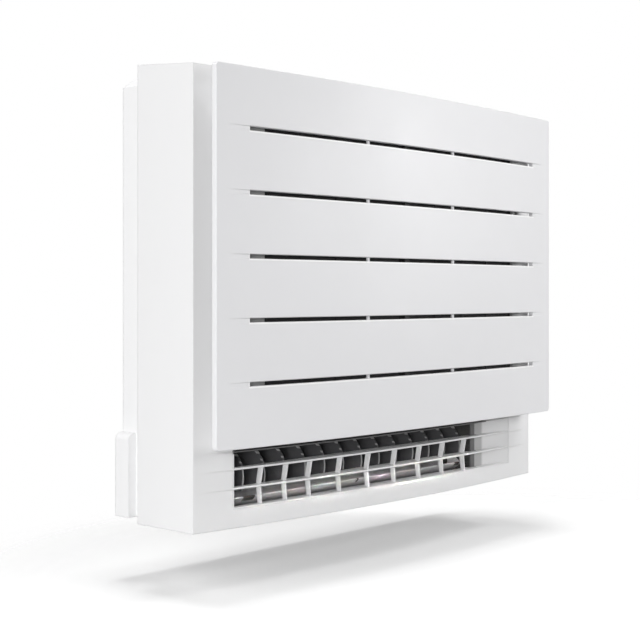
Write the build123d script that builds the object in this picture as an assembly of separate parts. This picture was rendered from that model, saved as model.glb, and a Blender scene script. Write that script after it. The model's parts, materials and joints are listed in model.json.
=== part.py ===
from build123d import *
import math
import os

# Floor standing air conditioner, millimetres.
# X runs along the width, -Y is the front with the intake panel, +Z is up.
# The origin is under the middle of the unit, on the plane that it stands on.

# ---------------------------------------------------------------- whole unit
overall_width = 750.0
overall_height = 600.0
overall_depth = 238.0
casing_half = overall_width / 2
skin = 2.5                      # wall of the moulded shells
running_gap = 0.3               # between pieces that move past each other
seat_gap = 0.15                 # between pieces that are dropped into a pocket

front_y = -overall_depth / 2
back_y = overall_depth / 2

# ---------------------------------------------------------------- front panel
panel_side_gap = 1.2            # panel edge behind the casing edge
panel_bottom = 106.6
panel_top_gap = 13.0            # panel edge below the top of the unit
panel_height = overall_height - panel_top_gap - panel_bottom
panel_sag = 15.6                # bow of the face, middle to edge
panel_wall = 3.0
panel_rim = 8.0
panel_low_corner = 6.0
panel_top_corner = 4.0
panel_edge_round = 1.2
slot_count = 5
slot_margin = 79.0              # plain band below the slots and above them
slot_pitch = (panel_height - 2 * slot_margin - 0.2) / (slot_count - 1)
slot_low_z = panel_bottom + slot_margin + 1.4
slot_height = 5.5
slot_half = casing_half - 55.5
slot_rib_x = 97.0
slot_rib_width = 4.0
slot_rib_depth = 5.0            # ribs stand this far behind the face
slot_lip = 1.6
slot_lip_depth = 8.0
runout_end = casing_half - 18.0 # grooves that carry on past the slots fade out here
runout_depth = 1.0

# ---------------------------------------------------------------- front casing
casing_sag = 22.4
casing_corner_y = front_y + 57.2# sharp front corner of the side
casing_back_y = back_y - 72.4
casing_top_drop = 10.0          # the top falls towards the front
return_half = casing_half - 55.0# opening towards the rear body
return_low = 12.0
return_high = overall_height - 15.0

# raised frame that holds the filters, behind the panel
frame_inset = 16.0              # frame face behind the panel face
frame_half = casing_half - 46.0
frame_low = 138.0
frame_high = overall_height - 34.0
intake_half = casing_half - 94.0
intake_low = 160.0
intake_high = overall_height - 54.0
mullion_width = 10.0
filter_depth = 3.0
filter_inset = 5.0              # filter face behind the frame face
ledge_width = 4.0
ledge_depth = 2.0
notch_height = 24.0             # finger notch in the frame's right rim

# ---------------------------------------------------------------- lower outlet
outlet_left = 64.0 - casing_half
outlet_right = casing_half - 165.0
outlet_blank_end = casing_half - 71.0
outlet_low = 26.5
outlet_high = 104.0
grille_back_y = front_y + 59.0
grille_wall = 2.0
bar_lows = (49.5, 74.5)
bar_height = 2.5
top_bar_low = 97.0
top_bar_height = 1.5
rib_pitch = overall_width * 0.078
rib_each_side = 3
extra_rib_pitch = 43.6
rib_width = 2.0
rib_depth = 8.0
rib_lean = 5.0
crease_end = casing_half - 7.0
crease_depth = 0.7
crease_height = 1.2

# ---------------------------------------------------------------- rear body
rear_half = casing_half - 33.6
rear_height = overall_height - 4.0
rear_chamfer = (21.0, 15.0)
bulge_half = casing_half - 20.6
bulge_height = 113.0
bulge_round = 9.0
bulge_depth = 28.0
recess_depth = 3.0
recess_half = casing_half - 75.0
recess_low = 60.0
recess_high = overall_height - 40.0

# ---------------------------------------------------------------- air path
duct_wall = 3.0
duct_front_y = front_y + 119.0   # front of the air path behind the orifice plate
duct_floor = 14.0
duct_rear_y = back_y - 31.0
duct_top = overall_height - 52.0
duct_bend_low = 70.0
duct_bend_high = 90.0
sleeve_front_y = casing_corner_y + 39.8
sleeve_rear_y = casing_back_y - 10.6

fan_x = -50.0
fan_z = overall_height / 2 - 2.0
fan_radius = overall_height / 4
fan_front_y = duct_front_y + 8.0
fan_back_y = duct_rear_y - 8.0
fan_inlet = fan_radius - 46.0
fan_plate = 2.4
fan_blades = 9
blade_thickness = 3.0
blade_lean = 52.0               # sweep of a blade from hub to tip, degrees
mouth_gap = 4.0
shaft_radius = 4.0
motor_radius = 50.0
motor_front_y = duct_rear_y - 28.0
motor_back_y = duct_rear_y + 10.0
motor_hole_gap = 13.0
bearing_gap = 0.05

# ---------------------------------------------------------------- upper outlet
flap_gap = 1.6
flap_thickness = 3.0
flap_hinge_y = sleeve_rear_y - 7.5
flap_hinge_drop = 6.5           # hinge line below the top face
flap_rear_radius = 7.2
flap_pin = 2.5
louvre_count = 8
louvre_pivot_z = overall_height - 42.0
louvre_height = 26.0
louvre_thickness = 1.6
louvre_pin = 1.5
louvre_pin_gap = 0.05
louvre_swing = 30.0
tie_height = 16.0               # tie bar pin above the louvre pivot
tie_slot_play = 0.6

# ---------------------------------------------------------------- lower shutter
shutter_y = grille_back_y + 50.0
shutter_z = 60.0
shutter_radius = 44.0
shutter_thickness = 2.2
shutter_start = 219.5           # parked front edge, degrees round the pivot
shutter_span = 100.0
shutter_pin = 3.0
vane_count = 13
vane_first = outlet_left + 35.0
vane_last = outlet_right - 11.0
vane_thickness = 1.5
vane_clearance = 2.0

# ---------------------------------------------------------------- heat exchanger
coil_left = outlet_left + 19.0
coil_right = outlet_right - 3.0
coil_front_y = front_y + 61.0
coil_back_y = coil_front_y + 32.0
coil_low = 118.0
coil_high = overall_height - 58.0
fin_pitch = 6.0
fin_groove = 3.0
tube_rows_y = (coil_front_y + 9.5, coil_back_y - 9.5)
tube_count = 8
tube_radius = 4.0
plate_thickness = 1.5
pan_floor = 3.0
pan_wall = 2.5
pan_height = 26.0
pan_left = outlet_left - 17.0
pan_right = outlet_right + 36.0
pan_front_y = coil_front_y - 5.0
pan_back_y = coil_back_y + 10.0

# ---------------------------------------------------------------- pipes
liquid_radius = 3.175
gas_radius = 4.76
drain_radius = 9.0
pipe_down_y = back_y - 39.0
liquid_x = outlet_right + 70.0
gas_x = outlet_right + 42.0
drain_x = outlet_right + 98.0

# ---------------------------------------------------------------- shared shapes


def block(x0, x1, y0, y1, z0, z1):
    """Box between two corners."""
    middle = ((x0 + x1) / 2, (y0 + y1) / 2, (z0 + z1) / 2)
    return Pos(*middle) * Box(x1 - x0, y1 - y0, z1 - z0)


def rod_x(radius, x0, x1, y, z):
    """Round bar along X."""
    return Pos((x0 + x1) / 2, y, z) * Rot(0, 90, 0) * Cylinder(radius, x1 - x0)


def rod_y(radius, x, y0, y1, z):
    """Round bar along Y."""
    return Pos(x, (y0 + y1) / 2, z) * Rot(90, 0, 0) * Cylinder(radius, y1 - y0)


def rod_z(radius, x, y, z0, z1):
    """Round bar along Z."""
    return Pos(x, y, (z0 + z1) / 2) * Cylinder(radius, z1 - z0)


def flat_face(points, radius):
    """Face inside a closed outline, with its corners rounded if asked."""
    if radius == 0.0:
        return make_face(Polyline(*points, close=True))
    return make_face(FilletPolyline(*points, radius=radius, close=True))


def prism_x(points, x0, x1, radius=0.0):
    """Outline of (y, z) points, corners rounded by radius, extruded along X."""
    face = flat_face([(x0, y, z) for y, z in points], radius)
    return extrude(face, amount=x1 - x0, dir=(1, 0, 0))


def prism_y(points, y0, y1, radius=0.0):
    """Outline of (x, z) points, corners rounded by radius, extruded along Y."""
    face = flat_face([(x, y0, z) for x, z in points], radius)
    return extrude(face, amount=y1 - y0, dir=(0, 1, 0))


def prism_z(points, z0, z1, radius=0.0):
    """Outline of (x, y) points, corners rounded by radius, extruded along Z."""
    face = flat_face([(x, y, z0) for x, y in points], radius)
    return extrude(face, amount=z1 - z0, dir=(0, 0, 1))


def ring_y(outer, inner, x, y0, y1, z):
    """Tube along Y."""
    return rod_y(outer, x, y0, y1, z) - rod_y(inner, x, y0 - 1, y1 + 1, z)


def sag_radius(half, sag):
    """Radius of an arc that falls by sag at half its width."""
    return (half * half + sag * sag) / (2 * sag)


panel_half = casing_half - panel_side_gap
panel_top = panel_bottom + panel_height
panel_bow = (front_y, sag_radius(panel_half, panel_sag))
casing_bow = (casing_corner_y - casing_sag, sag_radius(casing_half, casing_sag))
slot_zs = [slot_low_z + slot_pitch * i for i in range(slot_count)]
duct_left = outlet_left
duct_right = outlet_right
top_slope = casing_top_drop / (casing_back_y - casing_corner_y)


def bow_y(x, bow, inset=0.0):
    """Front of a bowed face at x, moved back by inset."""
    middle, radius = bow
    return middle + radius - math.sqrt((radius - inset) ** 2 - x * x)


def bow_arc(x0, x1, z, bow, inset):
    """Arc of the bowed face between two x."""
    xm = (x0 + x1) / 2
    ends = [(x, bow_y(x, bow, inset), z) for x in (x0, xm, x1)]
    return ThreePointArc(*ends)


def bow_band(x0, x1, z0, z1, bow, near, far):
    """Sheet that follows the bow from one inset to another."""
    front = bow_arc(x0, x1, z0, bow, near)
    rear = bow_arc(x0, x1, z0, bow, far)
    sides = [Line(front @ 0, rear @ 0), Line(front @ 1, rear @ 1)]
    face = make_face([front.edge(), rear.edge(), sides[0].edge(), sides[1].edge()])
    return extrude(face, amount=z1 - z0, dir=(0, 0, 1))


def bow_block(x0, x1, z0, z1, bow, near, rear_y):
    """Block with a bowed front and a flat back."""
    front = bow_arc(x0, x1, z0, bow, near)
    back = Polyline(front @ 0, (x0, rear_y, z0), (x1, rear_y, z0), front @ 1)
    face = make_face([front.edge()] + list(back.edges()))
    return extrude(face, amount=z1 - z0, dir=(0, 0, 1))


def top_z(y, drop=0.0):
    """Height of the casing's sloping top at y."""
    return overall_height - (casing_back_y - y) * top_slope - drop


def under_top(drop=0.0):
    """Everything under the sloping top, lowered by drop."""
    near, far = -overall_depth, overall_depth
    points = [(near, -20.0), (far, -20.0), (far, top_z(far, drop)), (near, top_z(near, drop))]
    return prism_x(points, -overall_width, overall_width)


def both_sides(shape):
    """The shape and its mirror image across the middle."""
    return shape + mirror(shape, about=Plane.YZ)


def save(shape, node):
    """Write one sub-part."""
    export_step(shape, "parts/" + node + ".step")


# ---------------------------------------------------------------- front panel
hinge_y = front_y + 27.0
hinge_z = 118.0
hinge_pin = 3.0
hinge_boss = 6.0
hinge_arm = 3.0
bracket_x = casing_half - 45.0
bracket_width = 5.0
hinge_side_gap = 1.0
arm_x = bracket_x + bracket_width + hinge_side_gap

catch_z = overall_height - 63.0
catch_half_height = 7.0
catch_x = casing_half - 75.0
catch_length = 26.0
catch_travel = 8.0
catch_depth = 7.3
tongue_length = 5.0
tongue_thickness = 3.5
tongue_half_height = 4.0
keeper_x = catch_x + catch_length + catch_travel
keeper_width = 4.0
keeper_wall = 4.0


def catch_face():
    """Front of a catch: it clears the bowed panel at the end of its travel."""
    return bow_y(catch_x + catch_length + catch_travel, panel_bow, panel_wall) + running_gap


catch_front_y = catch_face()
catch_back_y = catch_front_y + catch_depth
tongue_back_y = catch_back_y - 0.5
tongue_front_y = tongue_back_y - tongue_thickness


def panel_slot(z):
    """One long slot with its inward lips; the ribs across it stand back."""
    low, high = z - slot_height / 2, z + slot_height / 2
    front = bow_band(-slot_half, slot_half, low, high, panel_bow, -2.0, slot_rib_depth)
    edges = (-slot_half, -slot_rib_x, slot_rib_x, slot_half)
    half_rib = slot_rib_width / 2
    cut = front
    for i in range(3):
        x0 = edges[i] + (half_rib if i > 0 else 0.0)
        x1 = edges[i + 1] - (half_rib if i < 2 else 0.0)
        cut += bow_band(x0, x1, low, high, panel_bow, slot_rib_depth - 1, slot_lip_depth + 1)
    return cut


def panel_lip(z):
    """Rim round the back of one slot."""
    low = z - slot_height / 2 - slot_lip
    high = z + slot_height / 2 + slot_lip
    half = slot_half + slot_lip
    return bow_band(-half, half, low, high, panel_bow, panel_wall / 2, slot_lip_depth)


def run_out(x0, x1, z0, z1, bow, depth):
    """Groove that is deepest at x0 and fades out at x1."""
    y0, y1 = bow_y(x0, bow), bow_y(x1, bow)
    points = [(x0, y0 + depth), (x1, y1), (x1, y1 - 3), (x0, y0 - 3)]
    return prism_z(points, z0, z1)


def make_front_panel():
    half, low, high = panel_half, panel_bottom, panel_top
    spare = 5.0
    shell = bow_band(-half - spare, half + spare, low - spare, high + spare, panel_bow, 0.0, panel_rim)
    radii = [panel_low_corner, panel_low_corner, panel_top_corner, panel_top_corner]
    corners = [(-half, low), (half, low), (half, high), (-half, high)]
    shell &= prism_y(corners, front_y - spare, 0.0, radii)
    face = shell.faces().sort_by(Axis.Y)[0]
    shell = fillet(face.edges(), panel_edge_round)
    pocket_half = half - panel_wall
    shell -= bow_band(-pocket_half, pocket_half, low + panel_wall, high - panel_wall,
                      panel_bow, panel_wall, panel_rim + 5)
    for z in slot_zs:
        shell += panel_lip(z)
    for z in slot_zs:
        shell -= panel_slot(z)
        low_z, high_z = z - slot_height / 2, z + slot_height / 2
        groove = run_out(slot_half, runout_end, low_z, high_z, panel_bow, runout_depth)
        shell -= both_sides(groove)
    arm_front_y = bow_y(arm_x, panel_bow, panel_wall) - panel_wall / 3
    arm = block(arm_x, arm_x + hinge_arm, arm_front_y, hinge_y, hinge_z - hinge_boss, hinge_z + hinge_boss)
    arm += rod_x(hinge_boss, arm_x, arm_x + hinge_arm, hinge_y, hinge_z)
    arm += rod_x(hinge_pin, bracket_x, arm_x + hinge_arm / 2, hinge_y, hinge_z)
    shell += both_sides(arm)
    shell += both_sides(catch_rails())
    return shell


def catch_rails():
    """Two hooked rails on the panel's back that a catch slides in."""
    rail_wall = 2.0
    lip_gap = 0.5
    lip_depth = 1.5
    lip_reach = 2.0
    inner = catch_half_height + running_gap
    length = catch_length - 4.0
    x0 = catch_x + 2.0
    root_y = bow_y(x0 + length, panel_bow, panel_wall) - panel_wall / 2
    back = catch_back_y + lip_gap + lip_depth
    rails = None
    for side in (-1, 1):
        z0, z1 = sorted((catch_z + side * inner, catch_z + side * (inner + rail_wall)))
        wall = block(x0, x0 + length, root_y, back, z0, z1)
        z2, z3 = sorted((catch_z + side * (inner + rail_wall), catch_z + side * (inner - lip_reach)))
        wall += block(x0, x0 + length, catch_back_y + lip_gap, back, z2, z3)
        rails = wall if rails is None else rails + wall
    return rails


def make_panel_catch():
    """Sliding catch on the right; its tongue runs out into the keeper."""
    z0, z1 = catch_z - catch_half_height, catch_z + catch_half_height
    body = block(catch_x, catch_x + catch_length, catch_front_y, catch_back_y, z0, z1)
    finger = prism_x([(catch_back_y - 0.5, catch_z - 1.0), (catch_back_y + 2.2, catch_z - 0.6),
                      (catch_back_y + 2.2, catch_z + 0.6), (catch_back_y - 0.5, catch_z + 1.0)],
                     catch_x + 4.0, catch_x + catch_length - 4.0)
    tip = catch_x + catch_length + tongue_length
    tongue = block(catch_x + catch_length - 1.0, tip, tongue_front_y, tongue_back_y,
                   catch_z - tongue_half_height, catch_z + tongue_half_height)
    tongue = chamfer(tongue.faces().sort_by(Axis.X)[-1].edges(), 0.6)
    return body + finger + tongue


# ---------------------------------------------------------------- front casing
button_x = casing_half - 113.0
button_y = sleeve_front_y + 14.0
button_radius = 4.8
lens_x0, lens_x1 = casing_half - 95.0, casing_half - 53.0
lens_y0, lens_y1 = button_y - 7.0, button_y + 7.0
post_radius = 2.5
display_post_x = (button_x - 12.0, lens_x1 + 6.0)
display_board_z = overall_height - 17.0
screw_radius = 2.0
screw_head = 4.2
casing_screw_x = casing_half - 45.5
casing_screw_zs = (60.0, overall_height / 2, overall_height - 60.0)


def make_front_casing():
    half = casing_half
    outer = bow_block(-half, half, 0.0, overall_height + 10, casing_bow, 0.0, casing_back_y)
    outer &= under_top()
    inner = bow_block(-half + skin, half - skin, skin, overall_height + 10, casing_bow, skin,
                      casing_back_y - skin)
    inner &= under_top(skin)
    outer += bow_block(-frame_half, frame_half, frame_low, frame_high, panel_bow, frame_inset, 0.0)
    core = bow_block(-frame_half + skin, frame_half - skin, frame_low + skin, frame_high - skin,
                     panel_bow, frame_inset + skin, 0.0)
    shell = outer - (inner + core)
    shell -= block(-return_half, return_half, 0.0, back_y, return_low, return_high)

    # filter channel: side walls, a mullion and a ledge behind the filters
    channel_back = frame_inset + filter_inset + filter_depth + ledge_depth
    wide = intake_half + skin
    shell += bow_band(-wide, wide, intake_low - skin, intake_high + skin, panel_bow,
                      frame_inset + skin / 2, channel_back)
    bays = filter_bays(0.0)
    for x0, x1, z0, z1 in bays:
        shell -= bow_band(x0, x1, z0, z1, panel_bow, frame_inset - 2, channel_back - ledge_depth)
        shell -= bow_band(x0 + ledge_width, x1 - ledge_width, z0 + ledge_width, z1 - ledge_width,
                          panel_bow, frame_inset, channel_back + 2)
    notch_z = slot_zs[3]
    shell -= block(intake_half + skin + 4, frame_half + 2, front_y, bow_y(frame_half, casing_bow) - 4,
                   notch_z - notch_height / 2, notch_z + notch_height / 2)

    # lower outlet and the lines that run out of its bars
    shell -= block(outlet_left - grille_wall, outlet_blank_end + grille_wall, front_y, grille_back_y + 20,
                   outlet_low - grille_wall, outlet_high + grille_wall)
    for z in bar_lows + (top_bar_low + top_bar_height,):
        left_end = -outlet_left + grille_wall
        right_end = outlet_blank_end + grille_wall
        left = run_out(left_end, crease_end, z - crease_height / 2, z + crease_height / 2,
                       casing_bow, crease_depth)
        right = run_out(right_end, crease_end, z - crease_height / 2, z + crease_height / 2,
                        casing_bow, crease_depth)
        shell -= mirror(left, about=Plane.YZ)
        shell -= right

    # upper outlet, display window and button hole
    above = overall_height + 5
    shell -= block(duct_left, duct_right, sleeve_front_y, sleeve_rear_y - 1.0, return_high, above)
    shell -= block(lens_x0, lens_x1, lens_y0, lens_y1, return_high - 5, overall_height + 5)
    shell -= rod_z(button_radius + running_gap, button_x, button_y, return_high - 5, overall_height + 5)
    for x in display_post_x:
        post_top = top_z(button_y, skin / 2)
        post = rod_z(post_radius, x, button_y, display_board_z + 1.6, post_top)
        shell += post & under_top(skin / 2)

    shell += both_sides(hinge_bracket())
    shell += both_sides(catch_keeper())
    for z in casing_screw_zs:
        hole = rod_y(screw_radius + 0.1, casing_screw_x, casing_back_y - 5, casing_back_y + 5, z)
        shell -= both_sides(hole)
    return shell


def filter_bays(clearance):
    """Left and right filter windows as (x0, x1, z0, z1)."""
    inner = mullion_width / 2 + clearance
    outer = intake_half - clearance
    z0, z1 = intake_low + clearance, intake_high - clearance
    return [(-outer, -inner, z0, z1), (inner, outer, z0, z1)]


def hinge_bracket():
    """Lug with a round bore that carries one hinge pin of the panel."""
    x0, x1 = bracket_x, bracket_x + bracket_width
    root = bow_y(x1, casing_bow, skin / 2)
    lug = block(x0, x1, hinge_y, root, hinge_z - hinge_boss, hinge_z + hinge_boss)
    lug += rod_x(hinge_boss, x0, x1, hinge_y, hinge_z)
    lug -= rod_x(hinge_pin + 0.05, x0 - 1, x1 + 1, hinge_y, hinge_z)
    return lug


def catch_keeper():
    """Post with a window that a catch tongue runs into."""
    x0, x1 = keeper_x, keeper_x + keeper_width
    root = bow_y(x1, casing_bow, skin / 2)
    window_front = tongue_front_y - 1.0
    window_back = tongue_back_y + 1.0
    half_window = tongue_half_height + 1.2
    tip = bow_y(x1, panel_bow, panel_wall) + running_gap + 0.3
    half_post = half_window + keeper_wall
    post = prism_x([(tip, catch_z - half_post), (root, catch_z - half_post - 5),
                    (root, catch_z + half_post + 5), (tip, catch_z + half_post)], x0, x1)
    return post - block(x0 - 1, x1 + 1, window_front, window_back,
                        catch_z - half_window, catch_z + half_window)


# ---------------------------------------------------------------- lower grille
rib_xs = [rib_pitch * i for i in range(-rib_each_side, rib_each_side + 1)]
rib_xs += [-rib_pitch * rib_each_side - extra_rib_pitch * i for i in (1, 2)]


def grille_rib(x):
    """Curved upright between the bars, leaning back as it goes down."""
    face = bow_y(x, casing_bow)
    low_bar, high_bar = bar_lows
    low_top = low_bar + bar_height
    upper = [(face + 0.6, high_bar), (face + rib_depth + 1, high_bar),
             (face + rib_depth + rib_lean, low_top), (face + rib_lean, low_top)]
    lower = [(face + rib_lean, low_bar), (face + rib_depth + rib_lean, low_bar),
             (face + rib_depth + 2, outlet_low), (face + 3, outlet_low)]
    x0, x1 = x - rib_width / 2, x + rib_width / 2
    return prism_x(upper, x0, x1) + prism_x(lower, x0, x1)


def make_lower_grille():
    w = grille_wall
    left, right = outlet_left, outlet_blank_end
    shell = bow_block(left - w, right + w, outlet_low - w, outlet_high + w, casing_bow, 0.0, grille_back_y)
    shell -= bow_block(left, right, outlet_low, outlet_high, casing_bow, -5.0, grille_back_y + 5)
    for z in bar_lows:
        shell += bow_block(left, right, z, z + bar_height, casing_bow, 0.0, grille_back_y)
    top_bar_high = top_bar_low + top_bar_height
    shell += bow_block(left, right, top_bar_low, top_bar_high, casing_bow, 0.0, grille_back_y)
    end_y = bow_y(right, casing_bow) + 0.3
    blank = [(outlet_right, grille_back_y - w), (right, end_y), (right, grille_back_y),
             (outlet_right, grille_back_y)]
    shell += prism_z(blank, outlet_low, outlet_high)
    for x in rib_xs:
        shell += grille_rib(x)
    return shell


# ---------------------------------------------------------------- rear body
standoff_radius = 7.0
standoff_xs = (outlet_left + 31.0, outlet_right - 30.0)
standoff_zs = (150.0, overall_height - 170.0)
pipe_hole = (outlet_right + 26.0, outlet_right + 114.0, back_y - 59.0, back_y - 11.0)
plate_half = casing_half - 135.0
plate_low = overall_height - 200.0
plate_high = overall_height - 80.0
hook_xs = (-plate_half / 2, plate_half / 2)
hook_half = 10.0
hook_z = plate_high - 14.0
hook_thickness = 2.0


def rear_outline(inset):
    """Back view of the rear body with its two cut corners."""
    dx, dz = rear_chamfer
    half, high, low = rear_half - inset, rear_height - inset, inset
    return [(-half, low), (half, low), (half, high - dz), (half - dx, high), (-half + dx, high),
            (-half, high - dz)]


def bulge_outline(inset):
    """Back view of the bulge over the pipes, without its rounding."""
    half, high, low = bulge_half - inset, bulge_height - inset, inset
    return [(-half, low), (half, low), (half, high), (-half, high)]


def make_rear_body():
    outer = prism_y(rear_outline(0.0), casing_back_y, back_y)
    radii = [0.0, 0.0, bulge_round, bulge_round]
    bulge = prism_y(bulge_outline(0.0), back_y - bulge_depth, back_y, radii)
    wall_y = back_y - recess_depth - skin
    inner = prism_y(rear_outline(skin), casing_back_y - 1, wall_y)
    bulge_front = back_y - bulge_depth + skin
    inner_radii = [0.0, 0.0, bulge_round - skin, bulge_round - skin]
    inner += prism_y(bulge_outline(skin), bulge_front, wall_y, inner_radii)
    shell = (outer + bulge) - inner
    shell -= block(-recess_half, recess_half, back_y - recess_depth, back_y + 1, recess_low, recess_high)
    for z in casing_screw_zs:
        boss = rod_y(screw_head + 1.8, casing_screw_x, casing_back_y, casing_back_y + 20, z)
        web = block(casing_screw_x, rear_half - skin / 2, casing_back_y, casing_back_y + 20, z - 3, z + 3)
        hole = rod_y(screw_radius + 0.1, casing_screw_x, casing_back_y - 1, casing_back_y + 16, z)
        shell += both_sides(boss + web)
        shell -= both_sides(hole)
    for x in standoff_xs:
        for z in standoff_zs:
            shell += rod_y(standoff_radius, x, duct_rear_y + duct_wall, wall_y + skin / 2, z)
    x0, x1, y0, y1 = pipe_hole
    shell -= block(x0, x1, y0, y1, -1, skin + 1)
    for x in hook_xs:
        half = hook_half + 2
        shell -= block(x - half, x + half, wall_y - 1, back_y + 1, hook_z - 10, hook_z + hook_thickness)
    return shell


plate_sheet = 1.6
plate_hole = 3.3
plate_hole_x = plate_half - 40.0
plate_hole_zs = (plate_low + 25.0, plate_high - 25.0)
plate_pad = 9.0
plate_pad_x = plate_half - 15.0
plate_window_x = (plate_half / 8, plate_half - 75.0)
plate_window_z = (plate_low + 32.0, plate_high - 40.0)


def make_mounting_plate():
    """Pressed steel plate: pads seat on the rear body, hooks carry it."""
    y1 = back_y
    y0 = back_y - plate_sheet
    pad_y = back_y - recess_depth
    outline = [(-plate_half, plate_low), (plate_half, plate_low), (plate_half, plate_high),
               (-plate_half, plate_high)]
    plate = prism_y(outline, y0, y1, 12.0)
    for side in (-1, 1):
        x0, x1 = sorted(side * x for x in plate_window_x)
        z0, z1 = plate_window_z
        window = [(x0, z0), (x1, z0), (x1, z1), (x0, z1)]
        plate -= prism_y(window, y0 - 1, y1 + 1, 8.0)
        for z in plate_hole_zs:
            plate += rod_y(plate_pad, side * plate_pad_x, pad_y, y1, z)
            plate -= rod_y(plate_hole, side * plate_hole_x, y0 - 1, y1 + 1, z)
    wall_inside = back_y - recess_depth - skin
    for x in hook_xs:
        x0, x1 = x - hook_half, x + hook_half
        lip_y = wall_inside - running_gap
        plate += block(x0, x1, lip_y - 1.8, y0 + 0.5, hook_z, hook_z + hook_thickness)
        plate += block(x0, x1, lip_y - 1.8, lip_y, hook_z, hook_z + 8)
    return plate


# ---------------------------------------------------------------- air guide
def duct_outline():
    """Side view of the air path, from the top mouth down to the front mouth."""
    rise = 30.0
    mouth_y = grille_back_y - rise
    return [(sleeve_front_y, duct_top + rise), (sleeve_front_y, duct_top - 20),
            (duct_front_y, duct_top - 50), (duct_front_y, outlet_high),
            (mouth_y, outlet_high), (mouth_y, duct_floor),
            (duct_rear_y, duct_floor), (duct_rear_y, duct_top - 70),
            (sleeve_rear_y, duct_top - 25), (sleeve_rear_y, duct_top + rise)]


def duct_radii(wall):
    """Corner radii of that outline, moved out by the wall."""
    return [0.0, 20.0 - wall, 20.0 + wall, 6.0 - wall, 0.0, 0.0, duct_bend_low + wall,
            duct_bend_high + wall, 20.0 - wall, 0.0]


def grown_outline(wall):
    """The same side view with a wall round it."""
    points = duct_outline()
    moves = [(-1, 0), (-1, 0), (-1, 0), (-1, 1), (-1, 1), (-1, -1), (1, -1), (1, 0), (1, 0), (1, 0)]
    return [(y + wall * a, z + wall * b) for (y, z), (a, b) in zip(points, moves)]


mouth_window = (outlet_left + 11.0, outlet_right - 10.0, 128.0, duct_top - 66.0)
mouth_lap = 7.0
orifice_screw_radius = 1.6


def orifice_screw_spots():
    """Screws in the lap of the orifice plate on the duct."""
    x0, x1, z0, z1 = mouth_window
    half = mouth_lap / 2
    heights = (z0 - half, (z0 + z1) / 2, z1 + half)
    return [(x, z) for x in (x0 - half, x1 + half) for z in heights]


def make_air_guide():
    """One-piece foam duct with the fan chamber in the middle."""
    wall = duct_wall
    outer = prism_x(grown_outline(wall), duct_left - wall, duct_right + wall, duct_radii(wall))
    inner = prism_x(duct_outline(), duct_left, duct_right, duct_radii(0.0))
    guide = outer - inner
    guide &= block(-overall_width, overall_width, grille_back_y, overall_depth, 0, duct_top)
    x0, x1, z0, z1 = mouth_window
    front, behind = duct_front_y - wall - 1, duct_front_y + 1
    guide -= block(x0, x1, front, behind, z0, z1)
    guide -= rod_y(motor_radius + motor_hole_gap, fan_x, duct_rear_y - 1, duct_rear_y + wall + 1, fan_z)
    guide -= rod_x(shutter_pin + bearing_gap, duct_left - 10, duct_right + 10, shutter_y, shutter_z)
    for x, z in orifice_screw_spots():
        guide -= rod_y(orifice_screw_radius, x, front, behind, z)
    return guide


def make_orifice_plate():
    """Plate in front of the fan with a rolled bell mouth into the fan inlet."""
    x0, x1, z0, z1 = mouth_window
    lap = mouth_lap
    back = duct_front_y - duct_wall
    front = back - skin
    throat = fan_inlet - mouth_gap
    end_y = fan_front_y + 3.0
    roll = end_y - front
    flare = throat + roll
    outline = [(x0 - lap, z0 - lap), (x1 + lap, z0 - lap), (x1 + lap, z1 + lap), (x0 - lap, z1 + lap)]
    plate = prism_y(outline, front, back, 8.0)
    plate -= rod_y(flare, fan_x, front - 1, back + 1, fan_z)
    for x, z in orifice_screw_spots():
        plate -= rod_y(orifice_screw_radius, x, front - 1, back + 1, z)
    air_side = rolled_edge(flare, end_y, roll)
    back_side = rolled_edge(flare, end_y, roll - skin)
    ends = [Line(air_side @ 0, back_side @ 0), Line(air_side @ 1, back_side @ 1)]
    section = make_face([air_side.edge(), back_side.edge(), ends[0].edge(), ends[1].edge()])
    return plate + Pos(fan_x, 0, fan_z) * revolve(section, axis=Axis.Y)


def rolled_edge(flare, end_y, radius):
    """Quarter circle from the plate's face into the throat."""
    middle = radius * math.sqrt(0.5)
    return ThreePointArc((flare, end_y - radius, 0), (flare - middle, end_y - middle, 0),
                         (flare - radius, end_y, 0))


def make_orifice_screws():
    front = duct_front_y - duct_wall - skin
    screws = []
    for x, z in orifice_screw_spots():
        head = rod_y(3.2, x, front - 2.0, front, z)
        screws.append(head + rod_y(orifice_screw_radius - 0.1, x, front - 1, 0.0, z))
    return Compound(children=screws)


# ---------------------------------------------------------------- fan
hub_radius = 76.0
hub_boss = 12.0
dome_y = motor_front_y - 12.0
hub_front_y = dome_y - 14.0
dome_radius = 54.0
shroud_depth = 22.0
blade_root = 84.0
press = 0.02


def spin(points):
    """Turned piece about the fan axis from (radius, y) points."""
    face = make_face(Polyline(*[(r, y, 0.0) for r, y in points], close=True))
    return Pos(fan_x, 0, fan_z) * revolve(face, axis=Axis.Y)


def hub_plate():
    """Back plate: boss, dome over the motor and the flat rim."""
    t = fan_plate
    bore = shaft_radius + press
    return spin([(bore, hub_front_y), (hub_boss, hub_front_y), (hub_boss, dome_y - t),
                 (dome_radius, dome_y - t), (hub_radius, fan_back_y - t), (fan_radius, fan_back_y - t),
                 (fan_radius, fan_back_y), (hub_radius - 1, fan_back_y), (dome_radius - 1, dome_y),
                 (hub_boss - 3, dome_y), (hub_boss - 3, dome_y + 5), (bore, dome_y + 5)])


def shroud_line(offset):
    """Front ring's section, moved back by offset."""
    rim_y = fan_front_y + shroud_depth
    return [(fan_inlet, fan_front_y + offset), (fan_inlet + 7, fan_front_y + 11 + offset),
            (fan_radius, rim_y + offset)]


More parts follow.
